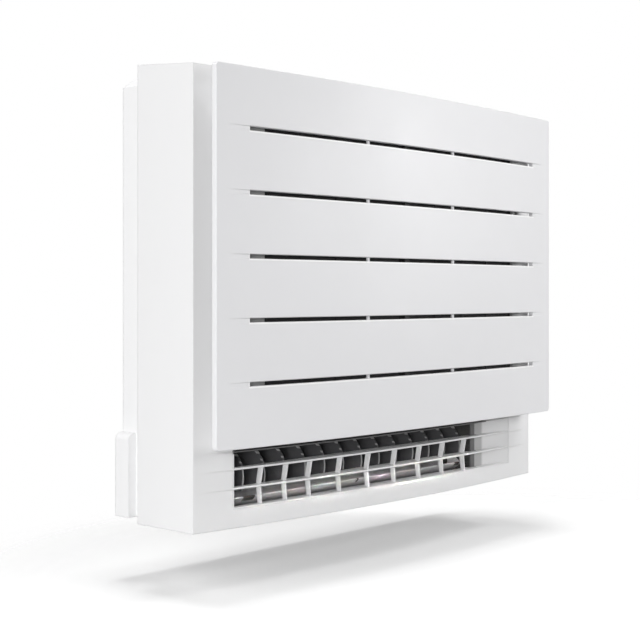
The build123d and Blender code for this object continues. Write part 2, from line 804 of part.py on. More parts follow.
def fan_blade(angle):
    """One backward-curved blade between hub plate and shroud."""
    inner, outer = blade_root, fan_radius - 1.0
    middle = (inner + outer) / 2
    sweep = math.radians(blade_lean)
    turns = {inner: 0.0, middle: sweep * 0.6, outer: sweep}

    def side(sign):
        spots = []
        for radius, turn in turns.items():
            a = angle + turn + sign * blade_thickness / 2 / radius
            spots.append((radius * math.cos(a), 0.0, radius * math.sin(a)))
        return ThreePointArc(*spots)

    near, far = side(-1), side(1)
    ends = [Line(near @ 0, far @ 0), Line(near @ 1, far @ 1)]
    face = make_face([near.edge(), far.edge(), ends[0].edge(), ends[1].edge()])
    blade = extrude(face, amount=fan_back_y, dir=(0, 1, 0))
    return Pos(fan_x, 0, fan_z) * blade


def make_fan_wheel():
    t = fan_plate
    wheel = hub_plate()
    front_line, back_line = shroud_line(0.0), shroud_line(t)
    shroud = spin(front_line + back_line[::-1])
    throat_point = (blade_root - 2, fan_front_y + 30)
    room = spin([throat_point] + shroud_line(t / 2) + [(fan_radius, fan_back_y - t / 2),
                (hub_radius, fan_back_y - t / 2), (hub_radius - 2, fan_back_y - 6)])
    for i in range(fan_blades):
        wheel += fan_blade(math.tau * i / fan_blades) & room
    return wheel + shroud


def make_fan_shaft():
    return rod_y(shaft_radius, fan_x, hub_front_y - 8, motor_back_y - 10, fan_z)


def make_fan_nut():
    """Hexagon nut that holds the hub on the shaft."""
    side = 7.5
    corners = [(fan_x + side * math.cos(math.tau * i / 6), fan_z + side * math.sin(math.tau * i / 6))
               for i in range(6)]
    nut = prism_y(corners, hub_front_y - 6, hub_front_y)
    return nut - rod_y(shaft_radius + press, fan_x, hub_front_y - 7, hub_front_y + 1, fan_z)


def make_fan_motor():
    """Round motor with domed covers, a blind bearing bore and a rear boss."""
    bore = shaft_radius + bearing_gap
    r, y0, y1 = motor_radius, motor_front_y, motor_back_y
    return spin([(bore, y0 - 3), (14, y0 - 3), (14, y0), (r - 7, y0), (r, y0 + 6), (r, y1 - 6), (r - 7, y1),
                 (18, y1), (18, y1 + 6), (0, y1 + 6), (0, y1 - 8), (bore, y1 - 8)])


def make_motor_bracket():
    """Ring with three ears that clamps the motor behind the duct."""
    y0 = duct_rear_y + duct_wall
    y1 = y0 + 3
    ring = ring_y(motor_radius + 24, motor_radius + 0.1, fan_x, y0, y1, fan_z)
    for i in range(3):
        a = math.radians(90 + 120 * i)
        x, z = fan_x + (motor_radius + 26) * math.cos(a), fan_z + (motor_radius + 26) * math.sin(a)
        ring += rod_y(9, x, y0, y1, z)
        ring += rod_y(4.5, x, y1 - 1, y1 + 3, z)
    return ring


# ---------------------------------------------------------------- heat exchanger
def tube_zs():
    """Heights of the tubes of one row."""
    step = (coil_high - coil_low) / tube_count
    return [coil_low + step * (i + 0.5) for i in range(tube_count)]


def make_heat_exchanger_fins():
    """Finned block; its faces are folded at the fin pitch."""
    count = int((coil_right - coil_left) // fin_pitch)
    step = (coil_right - coil_left) / count
    front, back = [], []
    for i in range(count):
        x = coil_left + step * i
        front += [(x, coil_front_y), (x + step / 2, coil_front_y + fin_groove)]
        back += [(x, coil_back_y), (x + step / 2, coil_back_y - fin_groove)]
    front.append((coil_right, coil_front_y))
    back.append((coil_right, coil_back_y))
    fins = prism_z(front + back[::-1], coil_low, coil_high)
    for y in tube_rows_y:
        for z in tube_zs():
            fins -= rod_x(tube_radius + press, coil_left - 1, coil_right + 1, y, z)
    return fins


def return_bend(x, y, z0, z1, side):
    """Half ring that joins two tubes of one row outside an end plate."""
    half = Torus((z1 - z0) / 2, tube_radius, major_angle=180, align=Align.NONE)
    return Pos(x, y, (z0 + z1) / 2) * Rot(90, 0, 0) * Rot(0, 0, -90 * side) * half


def make_heat_exchanger_tubes():
    """Serpentine of both rows, with the rows linked at the top."""
    left, right = coil_left - plate_thickness, coil_right + plate_thickness
    zs = tube_zs()
    tubes = None
    for y in tube_rows_y:
        for z in zs:
            leg = rod_x(tube_radius, left, right, y, z)
            tubes = leg if tubes is None else tubes + leg
        for i in range(0, tube_count - 1, 2):
            tubes += return_bend(left, y, zs[i], zs[i + 1], -1)
        for i in range(1, tube_count - 1, 2):
            tubes += return_bend(right, y, zs[i], zs[i + 1], 1)
    link_radius = (tube_rows_y[1] - tube_rows_y[0]) / 2
    link = Torus(link_radius, tube_radius, major_angle=180, align=Align.NONE)
    middle_y = sum(tube_rows_y) / 2
    tubes += Pos(right, middle_y, zs[-1]) * Rot(0, 0, -90) * link
    return tubes


def make_end_plate(x0):
    plate = block(x0, x0 + plate_thickness, coil_front_y - 2, coil_back_y - 0.5,
                  outlet_high + duct_wall + pan_floor, coil_high + 5)
    for y in tube_rows_y:
        for z in tube_zs():
            plate -= rod_x(tube_radius + press, x0 - 1, x0 + plate_thickness + 1, y, z)
    return plate


def make_drain_pan():
    """Trough under the heat exchanger with an outlet hole in its right end."""
    z0 = outlet_high + duct_wall
    corners = [(pan_left, pan_front_y), (pan_right, pan_front_y), (pan_right, pan_back_y),
               (pan_left, pan_back_y)]
    pan = prism_z(corners, z0, z0 + pan_height, 4.0)
    w = pan_wall
    inside = [(pan_left + w, pan_front_y + w), (pan_right - w, pan_front_y + w),
              (pan_right - w, pan_back_y - w), (pan_left + w, pan_back_y - w)]
    pan -= prism_z(inside, z0 + pan_floor, z0 + pan_height + 1, 2.0)
    return pan - rod_x(drain_radius - 2, pan_right - w - 1, pan_right + 1, drain_start_y, drain_start_z)


drain_start_y = coil_back_y - 4.0
drain_start_z = outlet_high + duct_wall + pan_floor + drain_radius - 1.0


def pipe_along(points, radius, bend, bore=0.0):
    """Round pipe along straight runs with round bends."""
    path = FilletPolyline(*points, radius=bend)
    start = Plane(origin=points[0], z_dir=(1, 0, 0))
    pipe = sweep(start * Circle(radius), path=path)
    if bore > 0:
        pipe -= sweep(start * Circle(bore), path=path)
    return pipe


pipe_end_z = 62.0
bend_radius = 22.0


def make_pipe(radius, start_y, down_x):
    z = tube_zs()[0]
    x0 = coil_right + plate_thickness
    points = [(x0, start_y, z), (down_x, start_y, z), (down_x, pipe_down_y, z),
              (down_x, pipe_down_y, pipe_end_z)]
    return pipe_along(points, radius, bend_radius)


union_sizes = {"liquid": (5.56, 12.0, 9.0), "gas": (7.94, 14.0, 12.0)}


def make_union(name, x):
    """Brass flare union: hexagon above, threaded end below."""
    thread, length, hexagon = union_sizes[name]
    turns = [math.tau * i / 6 for i in range(6)]
    corners = [(x + hexagon * math.cos(a), pipe_down_y + hexagon * math.sin(a)) for a in turns]
    nut = prism_z(corners, pipe_end_z - 8, pipe_end_z)
    return nut + rod_z(thread, x, pipe_down_y, pipe_end_z - 8 - length, pipe_end_z - 7)


def make_drain_elbow():
    points = [(pan_right, drain_start_y, drain_start_z), (drain_x, drain_start_y, drain_start_z),
              (drain_x, pipe_down_y, drain_start_z), (drain_x, pipe_down_y, pipe_end_z - 30)]
    return pipe_along(points, drain_radius, 20.0, drain_radius - 2)


# ---------------------------------------------------------------- filters
filter_rim = 5.0
filter_mesh = 0.6


def make_air_filter(index):
    """Bowed frame with cross ribs over a thin mesh sheet."""
    x0, x1, z0, z1 = filter_bays(running_gap)[index]
    near = frame_inset + filter_inset - 0.2
    far = near + filter_depth
    frame = bow_band(x0, x1, z0, z1, panel_bow, near, far)
    columns, rows = 4, 5
    dx = (x1 - x0 - filter_rim) / columns
    dz = (z1 - z0 - filter_rim) / rows
    holes = None
    for i in range(columns):
        for j in range(rows):
            hx, hz = x0 + filter_rim + dx * i, z0 + filter_rim + dz * j
            hole = block(hx, hx + dx - filter_rim, front_y, 0, hz, hz + dz - filter_rim)
            holes = hole if holes is None else holes + hole
    middle = near + filter_depth / 2
    sheet = bow_band(x0 + 1, x1 - 1, z0 + 1, z1 - 1, panel_bow, middle - filter_mesh / 2,
                     middle + filter_mesh / 2)
    return (frame - holes) + sheet


def make_deodorising_filter(side):
    """Small honeycomb frame behind an air filter."""
    x0, x1 = sorted((side * 60.0, side * (intake_half - 61.0)))
    z0, z1 = overall_height - 210.0, overall_height - 130.0
    near = frame_inset + filter_inset + filter_depth + 0.1
    body = bow_band(x0, x1, z0, z1, panel_bow, near, near + 7.0)
    step = 16.0
    for i in range(9):
        gx = x0 + 10 + step * i
        body -= block(gx, gx + step - 3, front_y, -60, z0 + 6, z1 - 6)
    sheet = bow_band(x0 + 2, x1 - 2, z0 + 2, z1 - 2, panel_bow, near + 3.0, near + 4.0)
    return body + sheet


# ---------------------------------------------------------------- upper outlet
hinge_top_z = top_z(flap_hinge_y) - flap_hinge_drop
louvre_step = (duct_right - duct_left) / (louvre_count + 1)
louvre_xs = [duct_left + louvre_step * (i + 1) for i in range(louvre_count)]
louvre_y0 = sleeve_front_y + 2.0
louvre_y1 = sleeve_rear_y - 2.0
tie_y = sleeve_front_y + 6.5
tie_thickness = 3.6
tie_low = louvre_pivot_z + 10.0
tie_high = louvre_pivot_z + 21.0


def make_outlet_sleeve():
    """Frame on top of the duct that carries the flap and the louvres."""
    w = duct_wall
    sleeve = block(duct_left - w, duct_right + w, sleeve_front_y - w, sleeve_rear_y + w,
                   duct_top, overall_height)
    sleeve &= under_top(skin)
    sleeve -= block(duct_left, duct_right, sleeve_front_y, sleeve_rear_y, duct_top - 1, overall_height)
    sleeve -= rod_x(flap_pin + bearing_gap, duct_left - 10, duct_right + 10, flap_hinge_y, hinge_top_z)
    for x in louvre_xs:
        sleeve -= rod_y(louvre_pin + louvre_pin_gap, x, sleeve_front_y - 10, sleeve_rear_y + 10,
                        louvre_pivot_z)
    return sleeve


def make_upper_flap():
    """Flush lid of the upper outlet, hinged near its rear edge."""
    x0, x1 = duct_left + flap_gap, duct_right - flap_gap
    y0 = sleeve_front_y + flap_gap
    y1 = flap_hinge_y + flap_rear_radius
    plate = block(x0, x1, y0, y1, return_high - 20, overall_height + 5) & under_top()
    plate -= under_top(flap_thickness)
    behind = block(x0 - 1, x1 + 1, flap_hinge_y, y1 + 1, return_high - 30, overall_height + 5)
    plate -= behind - rod_x(flap_rear_radius, x0 - 2, x1 + 2, flap_hinge_y, hinge_top_z)
    hub = 3.8
    arm = 3.0
    for edge, inward in ((x0, 1), (x1, -1)):
        near, far = sorted((edge, edge + inward * arm))
        ear = block(near, far, flap_hinge_y - hub, flap_hinge_y + hub, hinge_top_z, top_z(flap_hinge_y) - 2)
        ear += rod_x(hub, near, far, flap_hinge_y, hinge_top_z)
        outer_x = edge - inward * (flap_gap + duct_wall - 0.2)
        near, far = sorted((outer_x, edge + inward * arm / 2))
        plate += ear + rod_x(flap_pin, near, far, flap_hinge_y, hinge_top_z)
    rib_y = y0 + 8.0
    rib = block(x0 + 4, x1 - 4, rib_y, rib_y + 1.4, top_z(rib_y) - flap_thickness - 4,
                top_z(rib_y) - flap_thickness + 1)
    return plate + rib


def make_louvre(x):
    """Upright blade that swings to the left and right about a pin along Y."""
    half = louvre_thickness / 2
    low, high = louvre_pivot_z - 3, louvre_pivot_z + louvre_height
    notch_y = tie_y + tie_thickness / 2 + 2.7
    notch_z = tie_low - 2.0
    outline = [(louvre_y0, low), (louvre_y1, low), (louvre_y1, high), (notch_y, high), (notch_y, notch_z),
               (louvre_y0, notch_z)]
    blade = prism_x(outline, x - half, x + half)
    blade += rod_y(louvre_pin, x, sleeve_front_y - duct_wall + 0.2, louvre_y0 + 4, louvre_pivot_z)
    blade += rod_y(louvre_pin, x, louvre_y1 - 4, sleeve_rear_y + duct_wall - 0.2, louvre_pivot_z)
    return blade + rod_y(louvre_pin, x, louvre_y0 + 1, notch_y + 2, louvre_pivot_z + tie_height)


def make_tie_bar(xs):
    """Bar with a slot round each blade's pin."""
    half = tie_thickness / 2
    bar = block(xs[0] - 8, xs[-1] + 8, tie_y - half, tie_y + half, tie_low, tie_high)
    slot_half_width = louvre_pin + tie_slot_play
    drop = tie_height * (1 - math.cos(math.radians(louvre_swing)))
    low = louvre_pivot_z + tie_height - drop - louvre_pin - 0.4
    high = louvre_pivot_z + tie_height + louvre_pin + 0.4
    near, far = tie_y - half - 1, tie_y + half + 1
    for x in xs:
        bar -= block(x - slot_half_width, x + slot_half_width, near, far, low, high)
    return bar


# ---------------------------------------------------------------- small motors
stepper_radius = 13.5
stepper_depth = 17.0


def make_flap_motor():
    x0 = duct_right + duct_wall
    z = hinge_top_z - 11.0
    body = rod_x(stepper_radius, x0, x0 + stepper_depth, flap_hinge_y, z)
    ears = block(x0, x0 + 1.5, flap_hinge_y - 19, flap_hinge_y + 15, z - 4, z + 4)
    return body + ears


def make_shutter_motor():
    x0 = duct_right + duct_wall
    body = rod_x(stepper_radius, x0, x0 + stepper_depth, shutter_y, shutter_z - 6)
    return body + block(x0, x0 + 1.5, shutter_y - 19, shutter_y + 19, shutter_z - 10, shutter_z - 2)


def make_louvre_motor(x):
    y0 = sleeve_rear_y + duct_wall
    body = rod_y(stepper_radius, x, y0, y0 + stepper_depth, louvre_pivot_z + 4)
    return body + block(x - 19, x + 19, y0, y0 + 1.5, louvre_pivot_z, louvre_pivot_z + 8)


# ---------------------------------------------------------------- lower outlet inside
def polar(radius, degrees):
    """Point round the shutter's pivot as (y, z)."""
    a = math.radians(degrees)
    return shutter_y + radius * math.cos(a), shutter_z + radius * math.sin(a)


def make_lower_shutter():
    """Curved blade on two side arms that turns up in front of the vanes."""
    x0, x1 = duct_left + 1.5, duct_right - 1.5
    arm = 2.0
    end = shutter_start + shutter_span
    reach = shutter_radius * 1.6
    wedge = [(shutter_y, shutter_z)]
    wedge += [polar(reach, shutter_start + shutter_span * i / 4) for i in range(5)]
    sector = prism_x(wedge, x0, x1)
    disc = rod_x(shutter_radius, x0, x1, shutter_y, shutter_z)
    hollow = rod_x(shutter_radius - shutter_thickness, x0 - 1, x1 + 1, shutter_y, shutter_z)
    blade = (disc & sector) - hollow
    hole_y, hole_z = polar(shutter_radius * 0.62, (shutter_start + end) / 2)
    for near, far, pin_end in ((x0, x0 + arm, duct_left - duct_wall + 0.2),
                               (x1 - arm, x1, duct_right + duct_wall - 0.2)):
        cheek = prism_x(wedge, near, far) & rod_x(shutter_radius, near, far, shutter_y, shutter_z)
        cheek -= rod_x(9.0, near - 1, far + 1, hole_y, hole_z)
        cheek += rod_x(6.5, near, far, shutter_y, shutter_z)
        a, b = sorted((pin_end, (near + far) / 2))
        blade += cheek + rod_x(shutter_pin, a, b, shutter_y, shutter_z)
    return blade


def make_guide_vanes():
    """Comb of fixed upright vanes that hangs from the duct's ceiling."""
    step = (vane_last - vane_first) / (vane_count - 1)
    reach = shutter_radius - shutter_thickness - vane_clearance
    neck_y0, neck_y1 = shutter_y - 18.0, shutter_y + 2.0
    comb = block(vane_first - 12, vane_last + 4, neck_y0, neck_y1, outlet_high - 3, outlet_high)
    for i in range(vane_count):
        x = vane_first + step * i
        x0, x1 = x - vane_thickness / 2, x + vane_thickness / 2
        vane = rod_x(reach, x0, x1, shutter_y, shutter_z)
        vane &= block(x0, x1, -80, shutter_y + 16, shutter_z - 18, outlet_high - 5)
        comb += vane + block(x0, x1, neck_y0, neck_y1, shutter_z, outlet_high - 2)
    return comb


# ---------------------------------------------------------------- electrics
box_x0 = duct_right + duct_wall
box_x1 = casing_half - 57.0
box_y0 = casing_corner_y + 41.8
box_y1 = duct_rear_y - 18.0
box_z0 = overall_height / 2
box_z1 = overall_height - 60.0
box_wall = 2.0
board_y = box_y1 - 15.0
board_thickness = 1.6


def make_electrical_box():
    w = box_wall
    body = block(box_x0, box_x1, box_y0, box_y1, box_z0, box_z1)
    body -= block(box_x0 + w, box_x1 - w, box_y0 - 1, box_y1 - w, box_z0 + w, box_z1 - w)
    for x in (box_x0 + 12, box_x1 - 12):
        for z in (box_z0 + 40, box_z1 - 15):
            body += rod_y(3.0, x, board_y + board_thickness, box_y1 - w / 2, z)
    return body


def make_electrical_cover():
    w = box_wall
    gap = seat_gap + w
    cover = block(box_x0, box_x1, box_y0 - w, box_y0, box_z0, box_z1)
    rim = block(box_x0 + gap, box_x1 - gap, box_y0 - 1, box_y0 + 6, box_z0 + gap, box_z1 - gap)
    rim -= block(box_x0 + gap + w, box_x1 - gap - w, box_y0 - 2, box_y0 + 7, box_z0 + gap + w,
                 box_z1 - gap - w)
    return cover + rim


def make_control_board():
    """Printed board with its tall components."""
    x0, x1 = box_x0 + 6, box_x1 - 6
    z0, z1 = box_z0 + 34, box_z1 - 8
    board = block(x0, x1, board_y, board_y + board_thickness, z0, z1)
    for i, radius in enumerate((8.0, 8.0, 6.0)):
        board += rod_y(radius, x0 + 14 + 22 * i, board_y - 28, board_y + 0.5, z1 - 20)
    board += block(x0 + 8, x0 + 44, board_y - 24, board_y + 0.5, z1 - 84, z1 - 48)
    for i in range(3):
        board += block(x1 - 30, x1 - 12, board_y - 14, board_y + 0.5, z0 + 12 + 26 * i, z0 + 30 + 26 * i)
    return board


def make_terminal_block():
    """Row of screw terminals on the floor of the box."""
    z0 = box_z0 + box_wall
    x0, x1 = box_x0 + 10, box_x1 - 20
    y0 = box_y0 + 20.0
    body = block(x0, x1, y0, y0 + 26, z0, z0 + 20)
    count = 4
    step = (x1 - x0 - 2) / count
    for i in range(count):
        a = x0 + 2 + step * i
        body -= block(a, a + step - 2, y0 + 6, y0 + 20, z0 + 12, z0 + 21)
        body += rod_z(4.0, a + step / 2 - 1, y0 + 13, z0 + 11, z0 + 15)
    return body


def make_display_board():
    z0 = display_board_z
    board = block(button_x - 18, lens_x1 + 12, button_y - 14, button_y + 14, z0, z0 + board_thickness)
    switch_top = button_low_z - button_travel - running_gap
    board += block(button_x - 3, button_x + 3, button_y - 3, button_y + 3, z0 + 1, switch_top)
    for i in range(3):
        board += rod_z(1.5, lens_x0 + 9 + 12 * i, (lens_y0 + lens_y1) / 2, z0 + 1, z0 + 4)
    return board


button_travel = 1.0
button_low_z = overall_height - 12.0
button_proud = 0.5


def make_power_button():
    stem = rod_z(button_radius, button_x, button_y, button_low_z, overall_height) & under_top(-button_proud)
    collar = rod_z(button_radius + 2, button_x, button_y, button_low_z, overall_height)
    return stem + (collar & under_top(skin + running_gap))


def make_display_lens():
    g = seat_gap
    lens = block(lens_x0 + g, lens_x1 - g, lens_y0 + g, lens_y1 - g, button_low_z, overall_height)
    lens &= under_top()
    flange = block(lens_x0 - 2, lens_x1 + 2, lens_y0 - 2, lens_y1 + 2, button_low_z + 1, overall_height)
    return lens + (flange & under_top(skin))


def make_room_sensor():
    """Clip and bulb on the right end plate, in the entering air."""
    x0 = coil_right + plate_thickness
    y0 = coil_front_y - 2
    z0 = overall_height / 2 - 4
    clip = block(x0, x0 + 3, y0, y0 + 5, z0, z0 + 30)
    return clip + rod_z(2.2, x0 + 3, y0 + 2.5, z0 + 2, z0 + 36)


def make_casing_screws():
    front = casing_back_y - skin
    screws = []
    for z in casing_screw_zs:
        for x in (-casing_screw_x, casing_screw_x):
            head = rod_y(screw_head, x, front - 2.4, front, z)
            screws.append(head + rod_y(screw_radius, x, front - 1, casing_back_y + 14, z))
    return Compound(children=screws)


left_xs = louvre_xs[:louvre_count // 2]
right_xs = louvre_xs[louvre_count // 2:]

save(make_front_panel(), "front_panel")
save(make_panel_catch(), "panel_catch_right")
save(mirror(make_panel_catch(), about=Plane.YZ), "panel_catch_left")
save(make_front_casing(), "front_casing")
save(make_casing_screws(), "casing_screws")
save(make_lower_grille(), "lower_grille")
save(make_rear_body(), "rear_body")
save(make_mounting_plate(), "mounting_plate")
save(make_air_guide(), "air_guide")
save(make_orifice_plate(), "orifice_plate")
save(make_orifice_screws(), "orifice_screws")
save(make_fan_wheel(), "fan_wheel")
save(make_fan_shaft(), "fan_shaft")
save(make_fan_nut(), "fan_nut")
save(make_fan_motor(), "fan_motor")
save(make_motor_bracket(), "motor_bracket")
save(make_heat_exchanger_fins(), "heat_exchanger_fins")
save(make_heat_exchanger_tubes(), "heat_exchanger_tubes")
save(make_end_plate(coil_left - plate_thickness), "end_plate_left")
save(make_end_plate(coil_right), "end_plate_right")
save(make_drain_pan(), "drain_pan")
save(make_drain_elbow(), "drain_elbow")
save(make_pipe(liquid_radius, tube_rows_y[0], liquid_x), "liquid_pipe")
save(make_pipe(gas_radius, tube_rows_y[1], gas_x), "gas_pipe")
save(make_union("liquid", liquid_x), "liquid_union")
save(make_union("gas", gas_x), "gas_union")
save(make_air_filter(0), "air_filter_left")
save(make_air_filter(1), "air_filter_right")
save(make_deodorising_filter(-1), "deodorising_filter_left")
save(make_deodorising_filter(1), "deodorising_filter_right")
save(make_outlet_sleeve(), "outlet_sleeve")
save(make_upper_flap(), "upper_flap")
for number, louvre_x in enumerate(louvre_xs, start=1):
    save(make_louvre(louvre_x), "louvre_" + str(number))
save(make_tie_bar(left_xs), "tie_bar_left")
save(make_tie_bar(right_xs), "tie_bar_right")
save(make_louvre_motor(left_xs[1]), "louvre_motor_left")
save(make_louvre_motor(right_xs[2]), "louvre_motor_right")
save(make_flap_motor(), "flap_motor")
save(make_lower_shutter(), "lower_shutter")
save(make_shutter_motor(), "shutter_motor")
save(make_guide_vanes(), "guide_vanes")
save(make_electrical_box(), "electrical_box")
save(make_electrical_cover(), "electrical_cover")
save(make_control_board(), "control_board")
save(make_terminal_block(), "terminal_block")
save(make_display_board(), "display_board")
save(make_display_lens(), "display_lens")
save(make_power_button(), "power_button")
save(make_room_sensor(), "room_sensor")
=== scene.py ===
import json
import math

import bpy
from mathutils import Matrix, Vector


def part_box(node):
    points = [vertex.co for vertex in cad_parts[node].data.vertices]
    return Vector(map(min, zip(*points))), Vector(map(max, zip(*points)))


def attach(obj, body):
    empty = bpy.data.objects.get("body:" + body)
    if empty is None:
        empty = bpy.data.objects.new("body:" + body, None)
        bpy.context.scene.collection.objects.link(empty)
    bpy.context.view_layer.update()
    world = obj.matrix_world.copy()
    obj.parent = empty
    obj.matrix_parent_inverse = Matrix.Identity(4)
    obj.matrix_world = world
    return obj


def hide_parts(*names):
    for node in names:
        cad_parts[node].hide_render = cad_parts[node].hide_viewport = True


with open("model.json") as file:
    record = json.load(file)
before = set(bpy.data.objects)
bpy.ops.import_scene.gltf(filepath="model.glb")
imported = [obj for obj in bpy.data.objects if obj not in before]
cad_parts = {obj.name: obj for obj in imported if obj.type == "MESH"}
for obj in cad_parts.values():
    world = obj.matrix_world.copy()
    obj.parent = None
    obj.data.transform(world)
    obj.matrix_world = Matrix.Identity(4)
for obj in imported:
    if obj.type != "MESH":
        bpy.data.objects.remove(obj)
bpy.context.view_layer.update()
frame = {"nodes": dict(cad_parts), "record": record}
cadNodes = frame["nodes"]
print("frame loaded:", len(cadNodes), "nodes")


def put(tree, kind, **settings):
    node = tree.nodes.new(kind)
    for name, value in settings.items():
        setattr(node, name, value)
    return node


def feed(tree, socket, value):
    # a number or tuple is set on the socket, and another socket is linked to it
    if isinstance(value, (int, float, tuple)):
        socket.default_value = value
    else:
        tree.links.new(value, socket)


def newGroup(name, kind, inputs, outputs):
    group = bpy.data.node_groups.new(name, kind)
    for socketName, socketKind, value in inputs:
        socket = group.interface.new_socket(socketName, in_out="INPUT", socket_type=socketKind)
        if value is not None:
            socket.default_value = value
    for socketName, socketKind in outputs:
        group.interface.new_socket(socketName, in_out="OUTPUT", socket_type=socketKind)
    return group, put(group, "NodeGroupInput"), put(group, "NodeGroupOutput")


def sums(tree, operation, first, second):
    node = put(tree, "ShaderNodeMath", operation=operation)
    feed(tree, node.inputs[0], first)
    feed(tree, node.inputs[1], second)
    return node.outputs[0]


def split(tree, vector):
    node = put(tree, "ShaderNodeSeparateXYZ")
    tree.links.new(vector, node.inputs[0])
    return node.outputs


def opaque(colour):
    return colour + (1.0,)


def noise(tree, position, scale, detail):
    node = put(tree, "ShaderNodeTexNoise")
    for name, value in (("Vector", position), ("Scale", scale), ("Detail", detail)):
        feed(tree, node.inputs[name], value)
    return node.outputs["Fac"]


def blend(tree, factor, first, second):
    node = put(tree, "ShaderNodeMix", data_type="RGBA")
    for name, value in (("Factor", factor), ("A", first), ("B", second)):
        feed(tree, node.inputs[name], value)
    return node.outputs["Result"]


def tinted(tree, colour, amount, darker):
    # colour times (1 - amount * darker)
    return blend(tree, sums(tree, "MULTIPLY", amount, darker), colour, (0.0, 0.0, 0.0, 1.0))


def swung(tree, base, wave, swing):
    # base, moved up and down by a wave that lies between 0 and 1
    centred = sums(tree, "SUBTRACT", wave, 0.5)
    return sums(tree, "ADD", base, sums(tree, "MULTIPLY", centred, swing))


surfaceOutputs = [("Colour", "NodeSocketColor"), ("Roughness", "NodeSocketFloat"),
                  ("Height", "NodeSocketFloat")]

# a broad cloud and a narrower flow mark shade the plastic, a fine grain roughens it
grainLook = dict(cloud=5.0, cloudDetail=3.0, cloudShare=0.7, flow=38.0, flowDetail=2.0,
                 flowShare=0.3, grainDetail=2.0, swing=0.16)


def buildMouldGrain():
    group, given, result = newGroup(
        "mouldGrain", "ShaderNodeTree",
        [("Position", "NodeSocketVector", None),
         ("Colour", "NodeSocketColor", (0.8, 0.8, 0.8, 1.0)),
         ("Gloss", "NodeSocketFloat", 0.4), ("Grain", "NodeSocketFloat", 1800.0),
         ("Mottle", "NodeSocketFloat", 0.03)],
        surfaceOutputs)
    position = given.outputs["Position"]
    cloud = noise(group, position, grainLook["cloud"], grainLook["cloudDetail"])
    flow = noise(group, position, grainLook["flow"], grainLook["flowDetail"])
    grain = noise(group, position, given.outputs["Grain"], grainLook["grainDetail"])
    shade = sums(group, "ADD", sums(group, "MULTIPLY", cloud, grainLook["cloudShare"]),
                 sums(group, "MULTIPLY", flow, grainLook["flowShare"]))
    colour = tinted(group, given.outputs["Colour"], given.outputs["Mottle"], shade)
    roughness = swung(group, given.outputs["Gloss"], shade, grainLook["swing"])
    group.links.new(colour, result.inputs["Colour"])
    group.links.new(roughness, result.inputs["Roughness"])
    group.links.new(grain, result.inputs["Height"])
    return group


# drawn metal: lines pulled out along x, and stains
lineLook = dict(stretch=(0.03, 1.0, 1.0), lineDetail=3.0, stain=45.0, stainDetail=4.0, swing=0.25)


def buildDraggedLines():
    group, given, result = newGroup(
        "draggedLines", "ShaderNodeTree",
        [("Position", "NodeSocketVector", None),
         ("Colour", "NodeSocketColor", (0.7, 0.7, 0.7, 1.0)),
         ("Gloss", "NodeSocketFloat", 0.3), ("Lines", "NodeSocketFloat", 900.0),
         ("Tarnish", "NodeSocketFloat", 0.2)],
        surfaceOutputs)
    stretch = put(group, "ShaderNodeVectorMath", operation="MULTIPLY")
    stretch.inputs[1].default_value = lineLook["stretch"]
    group.links.new(given.outputs["Position"], stretch.inputs[0])
    lines = noise(group, stretch.outputs[0], given.outputs["Lines"], lineLook["lineDetail"])
    stain = noise(group, given.outputs["Position"], lineLook["stain"], lineLook["stainDetail"])
    colour = tinted(group, given.outputs["Colour"], given.outputs["Tarnish"], stain)
    roughness = swung(group, given.outputs["Gloss"], lines, lineLook["swing"])
    group.links.new(colour, result.inputs["Colour"])
    group.links.new(roughness, result.inputs["Roughness"])
    group.links.new(lines, result.inputs["Height"])
    return group


# dust lies where a face looks up, and more in some places than others
dustLook = dict(patches=60.0, detail=4.0, colour=(0.48, 0.46, 0.43))


def buildSettledDust():
    group, given, result = newGroup(
        "settledDust", "ShaderNodeTree",
        [("Position", "NodeSocketVector", None), ("Normal", "NodeSocketVector", None),
         ("Colour", "NodeSocketColor", (0.3, 0.3, 0.3, 1.0)), ("Amount", "NodeSocketFloat", 0.3)],
        [("Colour", "NodeSocketColor")])
    upward = sums(group, "MAXIMUM", split(group, given.outputs["Normal"])["Z"], 0.0)
    patches = noise(group, given.outputs["Position"], dustLook["patches"], dustLook["detail"])
    cover = sums(group, "MULTIPLY", sums(group, "MULTIPLY", upward, patches),
                 given.outputs["Amount"])
    dusty = blend(group, cover, given.outputs["Colour"], opaque(dustLook["colour"]))
    group.links.new(dusty, result.inputs["Colour"])
    return group


mouldGrain = buildMouldGrain()
draggedLines = buildDraggedLines()
settledDust = buildSettledDust()


def startMaterial(name):
    material = bpy.data.materials.new(name)
    material.use_nodes = True
    tree = material.node_tree
    tree.nodes.clear()
    shader = put(tree, "ShaderNodeBsdfPrincipled")
    output = put(tree, "ShaderNodeOutputMaterial")
    tree.links.new(shader.outputs[0], output.inputs["Surface"])
    place = put(tree, "ShaderNodeTexCoord")
    return material, tree, shader, place.outputs["Object"]


def useGroup(tree, group, position, settings):
    node = put(tree, "ShaderNodeGroup", node_tree=group)
    tree.links.new(position, node.inputs["Position"])
    for name, value in settings.items():
        feed(tree, node.inputs[name], value)
    return node.outputs


def moulded(tree, position, spec):
    return useGroup(tree, mouldGrain, position,
                    {"Colour": opaque(spec["colour"]), "Gloss": spec["gloss"],
                     "Grain": spec["grain"], "Mottle": spec["mottle"]})


def drawn(tree, position, spec):
    return useGroup(tree, draggedLines, position,
                    {"Colour": opaque(spec["colour"]), "Gloss": spec["gloss"],
                     "Lines": spec["lines"], "Tarnish": spec["tarnish"]})


bevelSamples = 6


